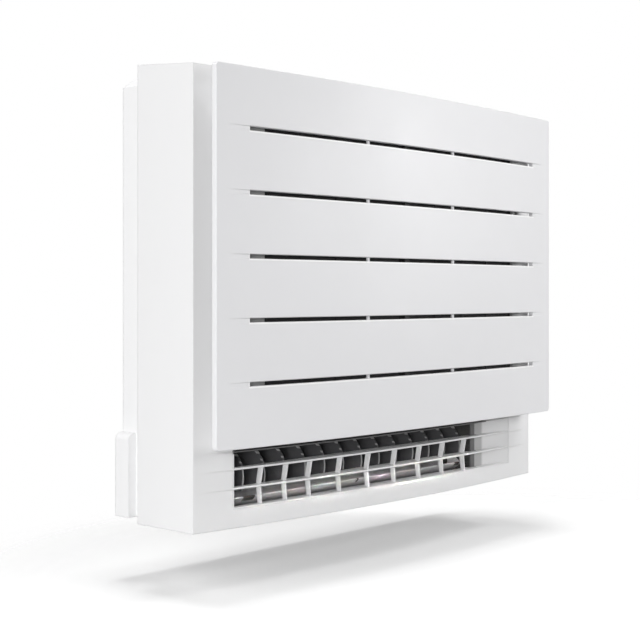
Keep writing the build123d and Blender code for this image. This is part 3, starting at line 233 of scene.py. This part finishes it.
def dress(tree, shader, colour, roughness, height, spec):
    # the height is shown as relief of the given depth, and corners look round by the edge
    tree.links.new(colour, shader.inputs["Base Color"])
    tree.links.new(roughness, shader.inputs["Roughness"])
    bump = put(tree, "ShaderNodeBump")
    bump.inputs["Strength"].default_value = 1.0
    bump.inputs["Distance"].default_value = spec["depth"]
    tree.links.new(height, bump.inputs["Height"])
    if spec["edge"] > 0.0:
        bevel = put(tree, "ShaderNodeBevel", samples=bevelSamples)
        bevel.inputs["Radius"].default_value = spec["edge"]
        tree.links.new(bevel.outputs[0], bump.inputs["Normal"])
    tree.links.new(bump.outputs[0], shader.inputs["Normal"])


def ease(tree, value, start, end, first, last):
    # first up to the start, last beyond the end, and a smooth step between them
    ramp = put(tree, "ShaderNodeMapRange", interpolation_type="SMOOTHSTEP")
    tree.links.new(value, ramp.inputs["Value"])
    ramp.inputs["From Min"].default_value = start
    ramp.inputs["From Max"].default_value = end
    ramp.inputs["To Min"].default_value = first
    ramp.inputs["To Max"].default_value = last
    return ramp.outputs["Result"]


def between(tree, value, low, high, softLow, softHigh):
    # 1 from low to high, easing to 0 beyond both ends
    rise = ease(tree, value, low - softLow, low, 0.0, 1.0)
    fall = ease(tree, value, high, high + softHigh, 1.0, 0.0)
    return sums(tree, "MULTIPLY", rise, fall)


def distanceTo(tree, position, point):
    reach = put(tree, "ShaderNodeVectorMath", operation="DISTANCE")
    tree.links.new(position, reach.inputs[0])
    reach.inputs[1].default_value = point
    return reach.outputs["Value"]


# the shutter's pivot line runs along x through this point, and the slots in the panel stand
# above each other: the height of the lowest and the step to the next
shutterPivot = (0.0, -0.010, 0.060)
slotRow = dict(first=0.187, pitch=0.08055)


def toned(tree, position, colour, places):
    # each place blends the colour towards a grey tone inside a box, ring or band
    x, y, z = split(tree, position)
    flat = put(tree, "ShaderNodeVectorMath", operation="MULTIPLY")
    flat.inputs[1].default_value = (0.0, 1.0, 1.0)
    tree.links.new(position, flat.inputs[0])
    half = slotRow["pitch"] / 2
    shifted = sums(tree, "SUBTRACT", z, slotRow["first"] - half)
    wrapped = sums(tree, "FLOORED_MODULO", shifted, slotRow["pitch"])
    axes = dict(x=x, y=y, z=z, r=distanceTo(tree, flat.outputs[0], shutterPivot),
                s=sums(tree, "SUBTRACT", wrapped, half))
    for place in places:
        mask = place["amount"]
        for axis, value in axes.items():
            if axis in place:
                mask = sums(tree, "MULTIPLY", between(tree, value, *place[axis]), mask)
        colour = blend(tree, mask, colour, opaque((place["tone"],) * 3))
    return colour


# places on a finish that take another tone: low, high and the two soft margins along x, y, z,
# r, the distance from the shutter's pivot line, or s, the height above the nearest slot; metres
slotHeights = (0.170, 0.525, 0.001, 0.001)
frameHeights = (0.175, 0.520, 0.015, 0.015)
blankHeights = (0.0245, 0.104, 0.0005, 0.0005)
shutterDepth = (-0.060, -0.030, 0.001, 0.001)
# most places here are painted highlights and painted shade; each one says which
paintedLightAndMarks = {
    "panel_white": [
        # the lips round each slot: a painted highlight below and at the left end, and painted
        # shade above
        dict(s=(-0.0046, -0.00285, 0.0006, 0.0001), x=(-0.3205, 0.3205, 0.001, 0.001),
             z=slotHeights, tone=1.0, amount=0.85),
        dict(s=(-0.0030, 0.0030, 0.0004, 0.0004), x=(-0.3212, -0.3197, 0.0004, 0.0001),
             z=slotHeights, tone=1.0, amount=0.85),
        dict(s=(0.00285, 0.0032, 0.0001, 0.0009), x=(-0.3200, 0.3200, 0.001, 0.001),
             z=slotHeights, tone=0.3, amount=0.5),
    ],
    "casing_white": [
        # painted shade: the mullion behind the slots, both sides of the intake frame, the gap at
        # its right
        dict(x=(-0.020, 0.020, 0.001, 0.001), y=(-0.125, -0.050, 0.001, 0.001),
             z=(0.160, 0.5455, 0.001, 0.0005), tone=0.012, amount=1.0),
        dict(x=(-0.331, -0.279, 0.001, 0.001), y=(-0.108, -0.060, 0.001, 0.001),
             z=frameHeights, tone=0.0, amount=0.58),
        dict(x=(0.279, 0.284, 0.001, 0.025), y=(-0.108, -0.060, 0.001, 0.001),
             z=frameHeights, tone=0.0, amount=0.5),
        dict(x=(0.3292, 0.3330, 0.0005, 0.0005), y=(-0.108, -0.055, 0.001, 0.001),
             z=frameHeights, tone=0.02, amount=0.7),
        # painted light on the strip of the face that stands beside the panel
        dict(x=(-0.376, -0.345, 0.001, 0.020), y=(-0.090, -0.0618, 0.001, 0.0002),
             z=(0.115, 0.61, 0.020, 0.001), tone=1.0, amount=0.45),
        # the shadow line under the panel
        dict(x=(-0.313, 0.234, 0.0005, 0.0005), z=(0.0955, 0.1035, 0.0005, 0.0005),
             tone=0.02, amount=0.85),
        # painted shade on the blank at the outlet's right end, darkest at its deep side and
        # lighter outwards
        dict(x=(0.200, 0.2195, 0.001, 0.001), y=(-0.066, -0.040, 0.001, 0.001),
             z=blankHeights, tone=0.03, amount=0.9),
        dict(x=(0.2195, 0.235, 0.001, 0.006), y=(-0.0645, -0.040, 0.001, 0.001),
             z=blankHeights, tone=0.2, amount=0.65),
        dict(x=(0.238, 0.303, 0.001, 0.006), y=(-0.0695, -0.040, 0.0005, 0.001),
             z=blankHeights, tone=0.4, amount=0.28),
    ],
    "inner_grey": [
        # painted highlights on the front edges of the vanes, and two painted glints on each
        dict(r=(0.0385, 0.0410, 0.0002, 0.0002), z=(0.050, 0.074, 0.001, 0.001),
             tone=0.42, amount=1.0),
        dict(r=(0.0362, 0.0410, 0.0005, 0.0005), z=(0.0868, 0.0892, 0.0004, 0.0004),
             tone=0.5, amount=1.0),
        dict(r=(0.0372, 0.0410, 0.0005, 0.0005), z=(0.0780, 0.0800, 0.0004, 0.0004),
             tone=0.4, amount=1.0),
    ],
    "shutter_grey": [
        # the inner face near black, painted shade where the notch is, and the two dark clips on
        # the upper edge
        dict(r=(0.0, 0.0428, 0.0, 0.0004), tone=0.035, amount=1.0),
        dict(x=(-0.2700, -0.2490, 0.0015, 0.0015), y=shutterDepth,
             z=(0.0270, 0.0400, 0.0015, 0.001), tone=0.02, amount=0.95),
        dict(x=(-0.0420, -0.0385, 0.0005, 0.0005), y=shutterDepth,
             z=(0.0275, 0.0400, 0.001, 0.001), tone=0.02, amount=0.95),
        dict(x=(0.1940, 0.2060, 0.0005, 0.0005), y=shutterDepth,
             z=(0.0285, 0.0400, 0.001, 0.001), tone=0.02, amount=0.95),
    ],
    "duct_foam": [
        # the duct's mouth, in the shade of the outlet
        dict(y=(-0.080, -0.008, 0.001, 0.004), z=(0.0, 0.107, 0.001, 0.001),
             tone=0.03, amount=0.92),
    ],
}


# colours are linear, grain is in waves per metre, depth and edge in metres
plastics = {
    "panel_white": dict(colour=(0.815, 0.815, 0.83), gloss=0.42, grain=1500, mottle=0.03,
                        depth=0.00001, edge=0.0015, specular=0.45, dust=0.0),
    "casing_white": dict(colour=(0.84, 0.84, 0.845), gloss=0.5, grain=1800, mottle=0.03,
                         depth=0.00002, edge=0.0022, specular=0.4, dust=0.0),
    "rear_white": dict(colour=(0.90, 0.90, 0.905), gloss=0.55, grain=1600, mottle=0.04,
                       depth=0.00003, edge=0.0025, specular=0.35, dust=0.0),
    "inner_grey": dict(colour=(0.11, 0.11, 0.115), gloss=0.5, grain=1200, mottle=0.1,
                       depth=0.00003, edge=0.0003, specular=0.4, dust=0.12),
    "shutter_grey": dict(colour=(0.93, 0.92, 0.96), gloss=0.65, grain=900, mottle=0.08,
                         depth=0.00001, edge=0.0004, specular=0.5, dust=0.06),
    "filter_mesh": dict(colour=(0.016, 0.016, 0.018), gloss=0.55, grain=1400, mottle=0.1,
                        depth=0.00002, edge=0.0, specular=0.35, dust=0.08),
    "carbon_filter": dict(colour=(0.03, 0.032, 0.032), gloss=0.7, grain=2600, mottle=0.3,
                          depth=0.00012, edge=0.0, specular=0.2, dust=0.1),
    "pan_white": dict(colour=(0.52, 0.53, 0.54), gloss=0.5, grain=1200, mottle=0.1,
                      depth=0.00003, edge=0.0004, specular=0.4, dust=0.2),
    "terminal_cream": dict(colour=(0.55, 0.48, 0.29), gloss=0.4, grain=1500, mottle=0.05,
                           depth=0.00002, edge=0.0003, specular=0.45, dust=0.05),
    "fan_plastic": dict(colour=(0.27, 0.29, 0.30), gloss=0.45, grain=1300, mottle=0.12,
                        depth=0.00003, edge=0.0004, specular=0.4, dust=0.25),
    "sensor_black": dict(colour=(0.015, 0.015, 0.015), gloss=0.35, grain=900, mottle=0.1,
                         depth=0.00001, edge=0.0002, specular=0.5, dust=0.0),
}


def makePlastic(name, spec):
    material, tree, shader, position = startMaterial(name)
    grain = moulded(tree, position, spec)
    colour = grain["Colour"]
    if spec["dust"] > 0.0:
        facing = put(tree, "ShaderNodeNewGeometry")
        dust = useGroup(tree, settledDust, position,
                        {"Amount": spec["dust"], "Normal": facing.outputs["Normal"],
                         "Colour": colour})
        colour = dust["Colour"]
    # painted highlights and painted shade from the table of places, where this finish has any
    if name in paintedLightAndMarks:
        colour = toned(tree, position, colour, paintedLightAndMarks[name])
    dress(tree, shader, colour, grain["Roughness"], grain["Height"], spec)
    shader.inputs["Specular IOR Level"].default_value = spec["specular"]
    return material


# plastic or paint under a clear coat
coated = {
    "motor_steel": dict(colour=(0.055, 0.058, 0.065), gloss=0.38, grain=1100, mottle=0.15,
                        depth=0.00006, edge=0.0004, coat=0.4, coatRough=0.2),
    "lens_smoke": dict(colour=(0.02, 0.02, 0.022), gloss=0.08, grain=700, mottle=0.1,
                       depth=0.000005, edge=0.0003, coat=0.6, coatRough=0.05),
}


def makeCoated(name, spec):
    material, tree, shader, position = startMaterial(name)
    grain = moulded(tree, position, spec)
    dress(tree, shader, grain["Colour"], grain["Roughness"], grain["Height"], spec)
    shader.inputs["Coat Weight"].default_value = spec["coat"]
    shader.inputs["Coat Roughness"].default_value = spec["coatRough"]
    return material


# lines are in waves per metre
metals = {
    "copper": dict(colour=(0.72, 0.35, 0.22), gloss=0.32, lines=700, tarnish=0.45,
                   depth=0.00001, edge=0.0002),
    "flare_brass": dict(colour=(0.70, 0.48, 0.17), gloss=0.28, lines=1800, tarnish=0.2,
                        depth=0.00001, edge=0.0002),
    "fin_aluminium": dict(colour=(0.72, 0.75, 0.78), gloss=0.34, lines=600, tarnish=0.12,
                          depth=0.00001, edge=0.0002),
    "screw_steel": dict(colour=(0.62, 0.62, 0.62), gloss=0.22, lines=2500, tarnish=0.1,
                        depth=0.00001, edge=0.0002),
    "stepper_steel": dict(colour=(0.56, 0.56, 0.57), gloss=0.33, lines=1500, tarnish=0.15,
                          depth=0.00001, edge=0.0002),
}


def makeMetal(name, spec):
    material, tree, shader, position = startMaterial(name)
    lines = drawn(tree, position, spec)
    dress(tree, shader, lines["Colour"], lines["Roughness"], lines["Height"], spec)
    shader.inputs["Metallic"].default_value = 1.0
    return material


def cells(tree, position, scale, feature):
    node = put(tree, "ShaderNodeTexVoronoi", feature=feature)
    node.inputs["Scale"].default_value = scale
    tree.links.new(position, node.inputs["Vector"])
    return node


galvanised = dict(colour=(0.56, 0.57, 0.58), gloss=0.36, lines=400, tarnish=0.1, depth=0.00001,
                  edge=0.0003, spangle=130.0, contrast=0.22, roughSpread=0.15)


def makeGalvanised(name):
    # zinc crystals: each cell has its own brightness
    material, tree, shader, position = startMaterial(name)
    crystal = cells(tree, position, galvanised["spangle"], "F1")
    lines = drawn(tree, position, galvanised)
    level = put(tree, "ShaderNodeSeparateColor")
    tree.links.new(crystal.outputs["Color"], level.inputs[0])
    amount = sums(tree, "MULTIPLY", level.outputs[0], galvanised["contrast"])
    colour = tinted(tree, lines["Colour"], amount, 1.0)
    rougher = sums(tree, "MULTIPLY", level.outputs[1], galvanised["roughSpread"])
    roughness = sums(tree, "ADD", lines["Roughness"], rougher)
    dress(tree, shader, colour, roughness, lines["Height"], galvanised)
    shader.inputs["Metallic"].default_value = 1.0
    return material


foam = dict(colour=(0.66, 0.66, 0.63), gloss=0.75, grain=900, mottle=0.1, depth=0.0004,
            edge=0.0, beads=260.0, seamWidth=0.25, seamShade=0.35)


def makeBeadFoam(name):
    # moulded foam: pressed beads with fine seams between them
    material, tree, shader, position = startMaterial(name)
    seams = cells(tree, position, foam["beads"], "DISTANCE_TO_EDGE")
    bead = put(tree, "ShaderNodeMapRange")
    bead.inputs["From Max"].default_value = foam["seamWidth"]
    tree.links.new(seams.outputs["Distance"], bead.inputs["Value"])
    height = bead.outputs["Result"]
    grain = moulded(tree, position, foam)
    seam = sums(tree, "SUBTRACT", 1.0, height)
    colour = tinted(tree, grain["Colour"], seam, foam["seamShade"])
    # painted shade at the duct's mouth
    colour = toned(tree, position, colour, paintedLightAndMarks[name])
    dress(tree, shader, colour, grain["Roughness"], height, foam)
    return material


board = dict(mask=(0.012, 0.11, 0.045), track=(0.03, 0.2, 0.08), trackPitch=230.0,
             tracksPerCell=3.0, trackShare=0.55, gloss=0.3, grain=2000, depth=0.00004, edge=0.0)


def makeBoard(name):
    # solder mask over a maze of raised tracks
    material, tree, shader, position = startMaterial(name)
    maze = cells(tree, position, board["trackPitch"], "F1")
    maze.distance = "CHEBYCHEV"
    rings = sums(tree, "MULTIPLY", maze.outputs["Distance"], board["tracksPerCell"])
    track = sums(tree, "GREATER_THAN", sums(tree, "FRACT", rings, 0.0), board["trackShare"])
    colour = blend(tree, track, opaque(board["mask"]), opaque(board["track"]))
    grain = useGroup(tree, mouldGrain, position,
                     {"Gloss": board["gloss"], "Grain": board["grain"]})
    dress(tree, shader, colour, grain["Roughness"], track, board)
    return material


finishes = {slot: makePlastic(slot, spec) for slot, spec in plastics.items()}
finishes.update({slot: makeCoated(slot, spec) for slot, spec in coated.items()})
finishes.update({slot: makeMetal(slot, spec) for slot, spec in metals.items()})
finishes["plate_steel"] = makeGalvanised("plate_steel")
finishes["duct_foam"] = makeBeadFoam("duct_foam")
finishes["board_green"] = makeBoard("board_green")

for part in frame["record"]["subparts"]:
    slots = cadNodes[part["node"]].data.materials
    slots.clear()
    slots.append(finishes[part["material_slot"]])
print("finishes on every node:", len(finishes), "materials")


def growPiece(name, group, sizes, material, body, covers=()):
    # one run of a Geometry Nodes tree, kept as a plain mesh on its body
    piece = bpy.data.objects.new(name, bpy.data.meshes.new(name + "Start"))
    bpy.context.scene.collection.objects.link(piece)
    grower = piece.modifiers.new("grow", "NODES")
    grower.node_group = group
    for item in group.interface.items_tree:
        if item.item_type == "SOCKET" and item.in_out == "INPUT" and item.name in sizes:
            grower[item.identifier] = sizes[item.name]
    graph = bpy.context.evaluated_depsgraph_get()
    mesh = bpy.data.meshes.new_from_object(piece.evaluated_get(graph))
    piece.modifiers.remove(grower)
    mesh.materials.clear()
    mesh.materials.append(finishes[material])
    for face in mesh.polygons:
        face.material_index = 0
    piece.data = mesh
    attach(piece, body)
    if covers:
        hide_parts(*covers)
    print("grown:", name, len(mesh.polygons), "faces")


def combine(tree, x, y, z):
    node = put(tree, "ShaderNodeCombineXYZ")
    for socket, value in zip(node.inputs, (x, y, z)):
        feed(tree, socket, value)
    return node.outputs[0]


def shape(tree, kind, fixed=None, **linked):
    # a geometry node with its plain values and its linked inputs
    node = put(tree, kind)
    for name, value in (fixed or {}).items():
        node.inputs[name].default_value = value
    for name, socket in linked.items():
        tree.links.new(socket, node.inputs[name.replace("_", " ")])
    return node.outputs[0]


def join(tree, *geometries):
    node = put(tree, "GeometryNodeJoinGeometry")
    for geometry in geometries:
        tree.links.new(geometry, node.inputs[0])
    return node.outputs[0]


def ownPlace(tree):
    return split(tree, put(tree, "GeometryNodeInputPosition").outputs[0])


def finishTree(tree, geometry, result, material):
    solid = shape(tree, "GeometryNodeRealizeInstances", Geometry=geometry)
    painted = shape(tree, "GeometryNodeSetMaterial", dict(Material=finishes[material]),
                    Geometry=solid)
    tree.links.new(painted, result.inputs["Geometry"])


def newGrower(name, **kinds):
    words = dict(length="NodeSocketFloat", count="NodeSocketInt", point="NodeSocketVector")
    inputs = [("Geometry", "NodeSocketGeometry", None)]
    inputs += [(word.replace("_", " "), words[kind], None) for word, kind in kinds.items()]
    return newGroup(name, "GeometryNodeTree", inputs, [("Geometry", "NodeSocketGeometry")])


# thin rippled plates stand where the model has one finned block
finSheet = dict(pitch=0.0015, thickness=0.00015, ripple=0.0005, waves=5, steps=21)


def buildFinSheets():
    tree, given, result = newGrower(
        "finSheets", Count="count", Pitch="length", Thickness="length", Size="point",
        First="point", Ripple="length", Turn="length")
    size = split(tree, given.outputs["Size"])
    measure = combine(tree, given.outputs["Thickness"], size["Y"], size["Z"])
    plate = shape(tree, "GeometryNodeMeshCube", {"Vertices Y": finSheet["steps"]}, Size=measure)
    angle = sums(tree, "MULTIPLY", ownPlace(tree)["Y"], given.outputs["Turn"])
    wave = sums(tree, "MULTIPLY", sums(tree, "SINE", angle, 0.0), given.outputs["Ripple"])
    bent = shape(tree, "GeometryNodeSetPosition", Geometry=plate,
                 Offset=combine(tree, wave, 0.0, 0.0))
    row = shape(tree, "GeometryNodeMeshLine", Count=given.outputs["Count"],
                Start_Location=given.outputs["First"],
                Offset=combine(tree, given.outputs["Pitch"], 0.0, 0.0))
    stack = shape(tree, "GeometryNodeInstanceOnPoints", Points=row, Instance=bent)
    finishTree(tree, stack, result, "fin_aluminium")
    return tree


def growFins():
    low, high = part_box("heat_exchanger_fins")
    size = high - low
    count = int(size.x / finSheet["pitch"])
    margin = finSheet["ripple"] + finSheet["thickness"]
    pitch = (size.x - 2 * margin) / (count - 1)
    middle = (low + high) / 2
    growPiece("finStack", buildFinSheets(),
              {"Count": count, "Pitch": pitch, "Thickness": finSheet["thickness"],
               "Size": list(size), "First": [low.x + margin, middle.y, middle.z],
               "Ripple": finSheet["ripple"], "Turn": math.tau * finSheet["waves"] / size.y},
              "fin_aluminium", "cabinet", ["heat_exchanger_fins"])


# pan heads with a cross recess; the shank starts just inside the head and runs on behind it
screwSets = {
    "casingScrews": dict(node="casing_screws", headRadius=0.0042, headHeight=0.0024,
                         shankRadius=0.0020, columns=2, rows=3),
    "orificeScrews": dict(node="orifice_screws", headRadius=0.0032, headHeight=0.0020,
                          shankRadius=0.0015, columns=2, rows=3),
}
recess = dict(reach=1.15, width=0.24, depth=0.55, crown=0.74, sides=28)
shankMiddle = -0.4999
upright = (math.pi / 2, 0.0, 0.0)


def buildScrewGrid():
    tree, given, result = newGrower(
        "screwGrid", Head_Radius="length", Head_Height="length", Shank_Radius="length",
        Shank_Length="length", Columns="count", Rows="count", Span_X="length", Span_Z="length",
        Middle="point")
    radius, height = given.outputs["Head Radius"], given.outputs["Head Height"]
    head = shape(tree, "GeometryNodeMeshCone", dict(Vertices=recess["sides"]),
                 Radius_Bottom=radius, Depth=height,
                 Radius_Top=sums(tree, "MULTIPLY", radius, recess["crown"]))
    reach = sums(tree, "MULTIPLY", radius, recess["reach"])
    width = sums(tree, "MULTIPLY", radius, recess["width"])
    depth = sums(tree, "MULTIPLY", height, 2 * recess["depth"])
    cut = put(tree, "GeometryNodeMeshBoolean", operation="DIFFERENCE", solver="EXACT")
    tree.links.new(head, cut.inputs["Mesh 1"])
    for size in ((reach, width, depth), (width, reach, depth)):
        bar = shape(tree, "GeometryNodeMeshCube", Size=combine(tree, *size))
        arm = shape(tree, "GeometryNodeTransform", Geometry=bar,
                    Translation=combine(tree, 0.0, 0.0, height))
        tree.links.new(arm, cut.inputs["Mesh 2"])
    length = given.outputs["Shank Length"]
    shank = shape(tree, "GeometryNodeMeshCylinder", dict(Vertices=recess["sides"]),
                  Radius=given.outputs["Shank Radius"], Depth=length)
    behind = sums(tree, "MULTIPLY", length, shankMiddle)
    sunk = shape(tree, "GeometryNodeTransform", Geometry=shank,
                 Translation=combine(tree, 0.0, 0.0, behind))
    screw = shape(tree, "GeometryNodeTransform", dict(Rotation=upright),
                  Geometry=join(tree, cut.outputs[0], sunk))
    grid = shape(tree, "GeometryNodeMeshGrid", Size_X=given.outputs["Span X"],
                 Size_Y=given.outputs["Span Z"], Vertices_X=given.outputs["Columns"],
                 Vertices_Y=given.outputs["Rows"])
    raised = shape(tree, "GeometryNodeTransform", dict(Rotation=upright), Geometry=grid,
                   Translation=given.outputs["Middle"])
    screws = shape(tree, "GeometryNodeInstanceOnPoints", Points=raised, Instance=screw)
    finishTree(tree, screws, result, "screw_steel")
    return tree


def growScrews():
    tree = buildScrewGrid()
    for name, spec in screwSets.items():
        low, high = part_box(spec["node"])
        middle = (low + high) / 2
        across = 2 * spec["headRadius"]
        seat = low.y + spec["headHeight"]
        growPiece(name, tree,
                  {"Head Radius": spec["headRadius"], "Head Height": spec["headHeight"],
                   "Shank Radius": spec["shankRadius"], "Shank Length": high.y - seat,
                   "Columns": spec["columns"], "Rows": spec["rows"],
                   "Span X": high.x - low.x - across, "Span Z": high.z - low.z - across,
                   "Middle": [middle.x, seat, middle.z]},
                  "screw_steel", "cabinet", [spec["node"]])


# crossed threads over the sheet of each air filter; they follow the panel's bow
weave = dict(pitch=0.0025, thread=0.00014, threadSides=4, inset=0.0012, ahead=0.0011,
             bowRadius=4.486, steps=25)


def buildWeave():
    tree, given, result = newGrower(
        "filterWeave", Left="length", Right="length", Low="length", High="length",
        Front="length", Pitch="length", Thread="length", Bow="length")
    left, right = given.outputs["Left"], given.outputs["Right"]
    low, high = given.outputs["Low"], given.outputs["High"]
    pitch, bow = given.outputs["Pitch"], given.outputs["Bow"]
    corner = combine(tree, left, 0.0, low)
    profile = shape(tree, "GeometryNodeCurvePrimitiveCircle",
                    dict(Resolution=weave["threadSides"]), Radius=given.outputs["Thread"])

    def threads(end, points, rowStart, rowEnd, rowStep):
        span = sums(tree, "SUBTRACT", rowEnd, rowStart)
        gaps = sums(tree, "FLOOR", sums(tree, "DIVIDE", span, pitch), 0.0)
        line = shape(tree, "GeometryNodeCurvePrimitiveLine", Start=corner, End=end)
        line = shape(tree, "GeometryNodeResampleCurve", dict(Count=points), Curve=line)
        row = shape(tree, "GeometryNodeMeshLine", Count=sums(tree, "ADD", gaps, 1.0),
                    Offset=rowStep)
        return shape(tree, "GeometryNodeInstanceOnPoints", Points=row, Instance=line)

    across = threads(combine(tree, right, 0.0, low), weave["steps"], low, high,
                     combine(tree, 0.0, 0.0, pitch))
    upward = threads(combine(tree, left, 0.0, high), 2, left, right,
                     combine(tree, pitch, 0.0, 0.0))
    lines = shape(tree, "GeometryNodeRealizeInstances", Geometry=join(tree, across, upward))
    x = ownPlace(tree)["X"]
    rest = sums(tree, "SUBTRACT", sums(tree, "MULTIPLY", bow, bow), sums(tree, "MULTIPLY", x, x))
    sag = sums(tree, "SUBTRACT", bow, sums(tree, "SQRT", rest, 0.0))
    depth = sums(tree, "ADD", sag, given.outputs["Front"])
    bowed = shape(tree, "GeometryNodeSetPosition", Geometry=lines,
                  Offset=combine(tree, 0.0, depth, 0.0))
    cloth = shape(tree, "GeometryNodeCurveToMesh", {"Fill Caps": True}, Curve=bowed,
                  Profile_Curve=profile)
    finishTree(tree, cloth, result, "filter_mesh")
    return tree


def growWeave():
    tree = buildWeave()
    inset = weave["inset"]
    for side in ("left", "right"):
        low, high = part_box("air_filter_" + side)
        growPiece("weave_" + side, tree,
                  {"Left": low.x + inset, "Right": high.x - inset, "Low": low.z + inset,
                   "High": high.z - inset, "Front": low.y + weave["ahead"],
                   "Pitch": weave["pitch"], "Thread": weave["thread"],
                   "Bow": weave["bowRadius"]},
                  "filter_mesh", "cabinet")


growFins()
growScrews()
growWeave()
print("repeated pieces grown")


# the camera stands level, left of the unit and a little above its middle
cameraSpec = dict(place=(-1.4433, -1.2630, 0.30245), turn=-47.312, lens=72.04, sensor=36.0,
                  shiftY=-0.0428, nearest=0.05, farthest=60.0)


def placeCamera():
    data = bpy.data.cameras.new("camera")
    data.sensor_width = cameraSpec["sensor"]
    data.lens = cameraSpec["lens"]
    data.shift_y = cameraSpec["shiftY"]
    data.clip_start = cameraSpec["nearest"]
    data.clip_end = cameraSpec["farthest"]
    camera = bpy.data.objects.new("camera", data)
    camera.location = cameraSpec["place"]
    camera.rotation_euler = (math.radians(90), 0.0, math.radians(cameraSpec["turn"]))
    bpy.context.scene.collection.objects.link(camera)
    bpy.context.scene.camera = camera


# each lamp: where it stands, what it looks at, its width, its height where that differs, its
# power in watts and, where it is narrow, the angle of its beam in degrees; the three strips
# light the shutter in the lower outlet
strip = dict(size=0.2, height=0.012, power=0.019, spread=1.5)
lamps = {
    "sideKey": dict(place=(-2.6, 0.0, 1.5), aim=(0.0, 0.0, 0.3), size=2.0, power=42.5),
    "leftFront": dict(place=(-2.3, -1.6, 0.38), aim=(-0.2, 0.0, 0.3), size=0.8, power=34.0),
    "rightUp": dict(place=(1.8, -1.7, 0.75), aim=(0.35, 0.0, 0.55), size=0.7, power=22.5),
    "rightTop": dict(place=(1.5, -1.2, 1.9), aim=(0.25, 0.0, 0.5), size=0.8, power=18.0),
    "above": dict(place=(0.0, 0.15, 5.6), aim=(0.0, 0.05, 0.0), size=1.2, power=116.0),
    "aboveBack": dict(place=(-0.6, 1.0, 5.6), aim=(0.0, 0.05, 0.0), size=1.0, power=13.0),
    "behind": dict(place=(0.3, 3.0, 0.25), aim=(0.0, 0.1, 0.3), size=0.8, power=4.0),
    "lowStripLeft": dict(place=(-0.40, -1.5, 0.0), aim=(-0.195, -0.06, 0.039), **strip),
    "lowStripMiddle": dict(place=(-0.22, -1.5, 0.0), aim=(-0.05, -0.06, 0.039), **strip),
    "lowStripRight": dict(place=(-0.06, -1.5, 0.0), aim=(0.095, -0.06, 0.039), **strip),
}
openSpread = 180.0


def placeLamps():
    for name, spec in lamps.items():
        data = bpy.data.lights.new(name, "AREA")
        data.shape = "RECTANGLE"
        data.size = spec["size"]
        data.size_y = spec.get("height", spec["size"])
        data.spread = math.radians(spec.get("spread", openSpread))
        data.energy = spec["power"]
        lamp = bpy.data.objects.new(name, data)
        lamp.location = spec["place"]
        away = Vector(spec["aim"]) - Vector(spec["place"])
        lamp.rotation_euler = away.to_track_quat("-Z", "Y").to_euler()
        bpy.context.scene.collection.objects.link(lamp)


def seenByLens(tree):
    path = put(tree, "ShaderNodeLightPath")
    first = sums(tree, "MAXIMUM", path.outputs["Is Camera Ray"], path.outputs["Is Glossy Ray"])
    return sums(tree, "MAXIMUM", first, path.outputs["Is Transmission Ray"])


def lightRoom():
    # camera, glossy and transmission rays meet plain white, and no other ray meets any light
    world = bpy.data.worlds.new("studio")
    bpy.context.scene.world = world
    world.use_nodes = True
    tree = world.node_tree
    tree.nodes.clear()
    back = put(tree, "ShaderNodeBackground")
    output = put(tree, "ShaderNodeOutputWorld")
    tree.links.new(seenByLens(tree), back.inputs["Strength"])
    back.inputs["Color"].default_value = (1.0, 1.0, 1.0, 1.0)
    tree.links.new(back.outputs[0], output.inputs["Surface"])


# the floor fades into the white background between two distances from a middle;
# the lens sees the near fade, and light bounces off the floor as far as the wide one
floorSpec = dict(height=-0.086, half=4.0, colour=0.95, bounce=0.5, lift=0.2, roughness=0.8,
                 specular=0.1)
lensFade = dict(middle=(0.0, -0.25, 0.0), start=0.56, end=0.82)
bounceFade = dict(middle=(0.0, 0.0, 0.0), start=0.95, end=1.5)


def fadeOut(tree, position, spec):
    distance = distanceTo(tree, position, spec["middle"])
    return ease(tree, distance, spec["start"], spec["end"], 1.0, 0.0)


def makeFloorPaint():
    material, tree, shader, position = startMaterial("paleFloor")
    seen = seenByLens(tree)
    tint = blend(tree, seen, opaque((floorSpec["bounce"],) * 3),
                 opaque((floorSpec["colour"],) * 3))
    tree.links.new(tint, shader.inputs["Base Color"])
    shader.inputs["Roughness"].default_value = floorSpec["roughness"]
    shader.inputs["Specular IOR Level"].default_value = floorSpec["specular"]
    shader.inputs["Emission Color"].default_value = (1.0, 1.0, 1.0, 1.0)
    glow = sums(tree, "MULTIPLY", seen, floorSpec["lift"])
    tree.links.new(glow, shader.inputs["Emission Strength"])
    near = fadeOut(tree, position, lensFade)
    wide = fadeOut(tree, position, bounceFade)
    hidden = sums(tree, "MULTIPLY", seen, sums(tree, "SUBTRACT", wide, near))
    tree.links.new(sums(tree, "SUBTRACT", wide, hidden), shader.inputs["Alpha"])
    return material


def layFloor():
    mesh = bpy.data.meshes.new("floor")
    half, z = floorSpec["half"], floorSpec["height"]
    corners = [(-half, -half, z), (half, -half, z), (half, half, z), (-half, half, z)]
    mesh.from_pydata(corners, [], [(0, 1, 2, 3)])
    mesh.materials.append(makeFloorPaint())
    floor = bpy.data.objects.new("floor", mesh)
    bpy.context.scene.collection.objects.link(floor)


placeCamera()
placeLamps()
lightRoom()
layFloor()
bpy.context.scene.view_settings.view_transform = "Standard"
print("camera, lamps and floor in place")
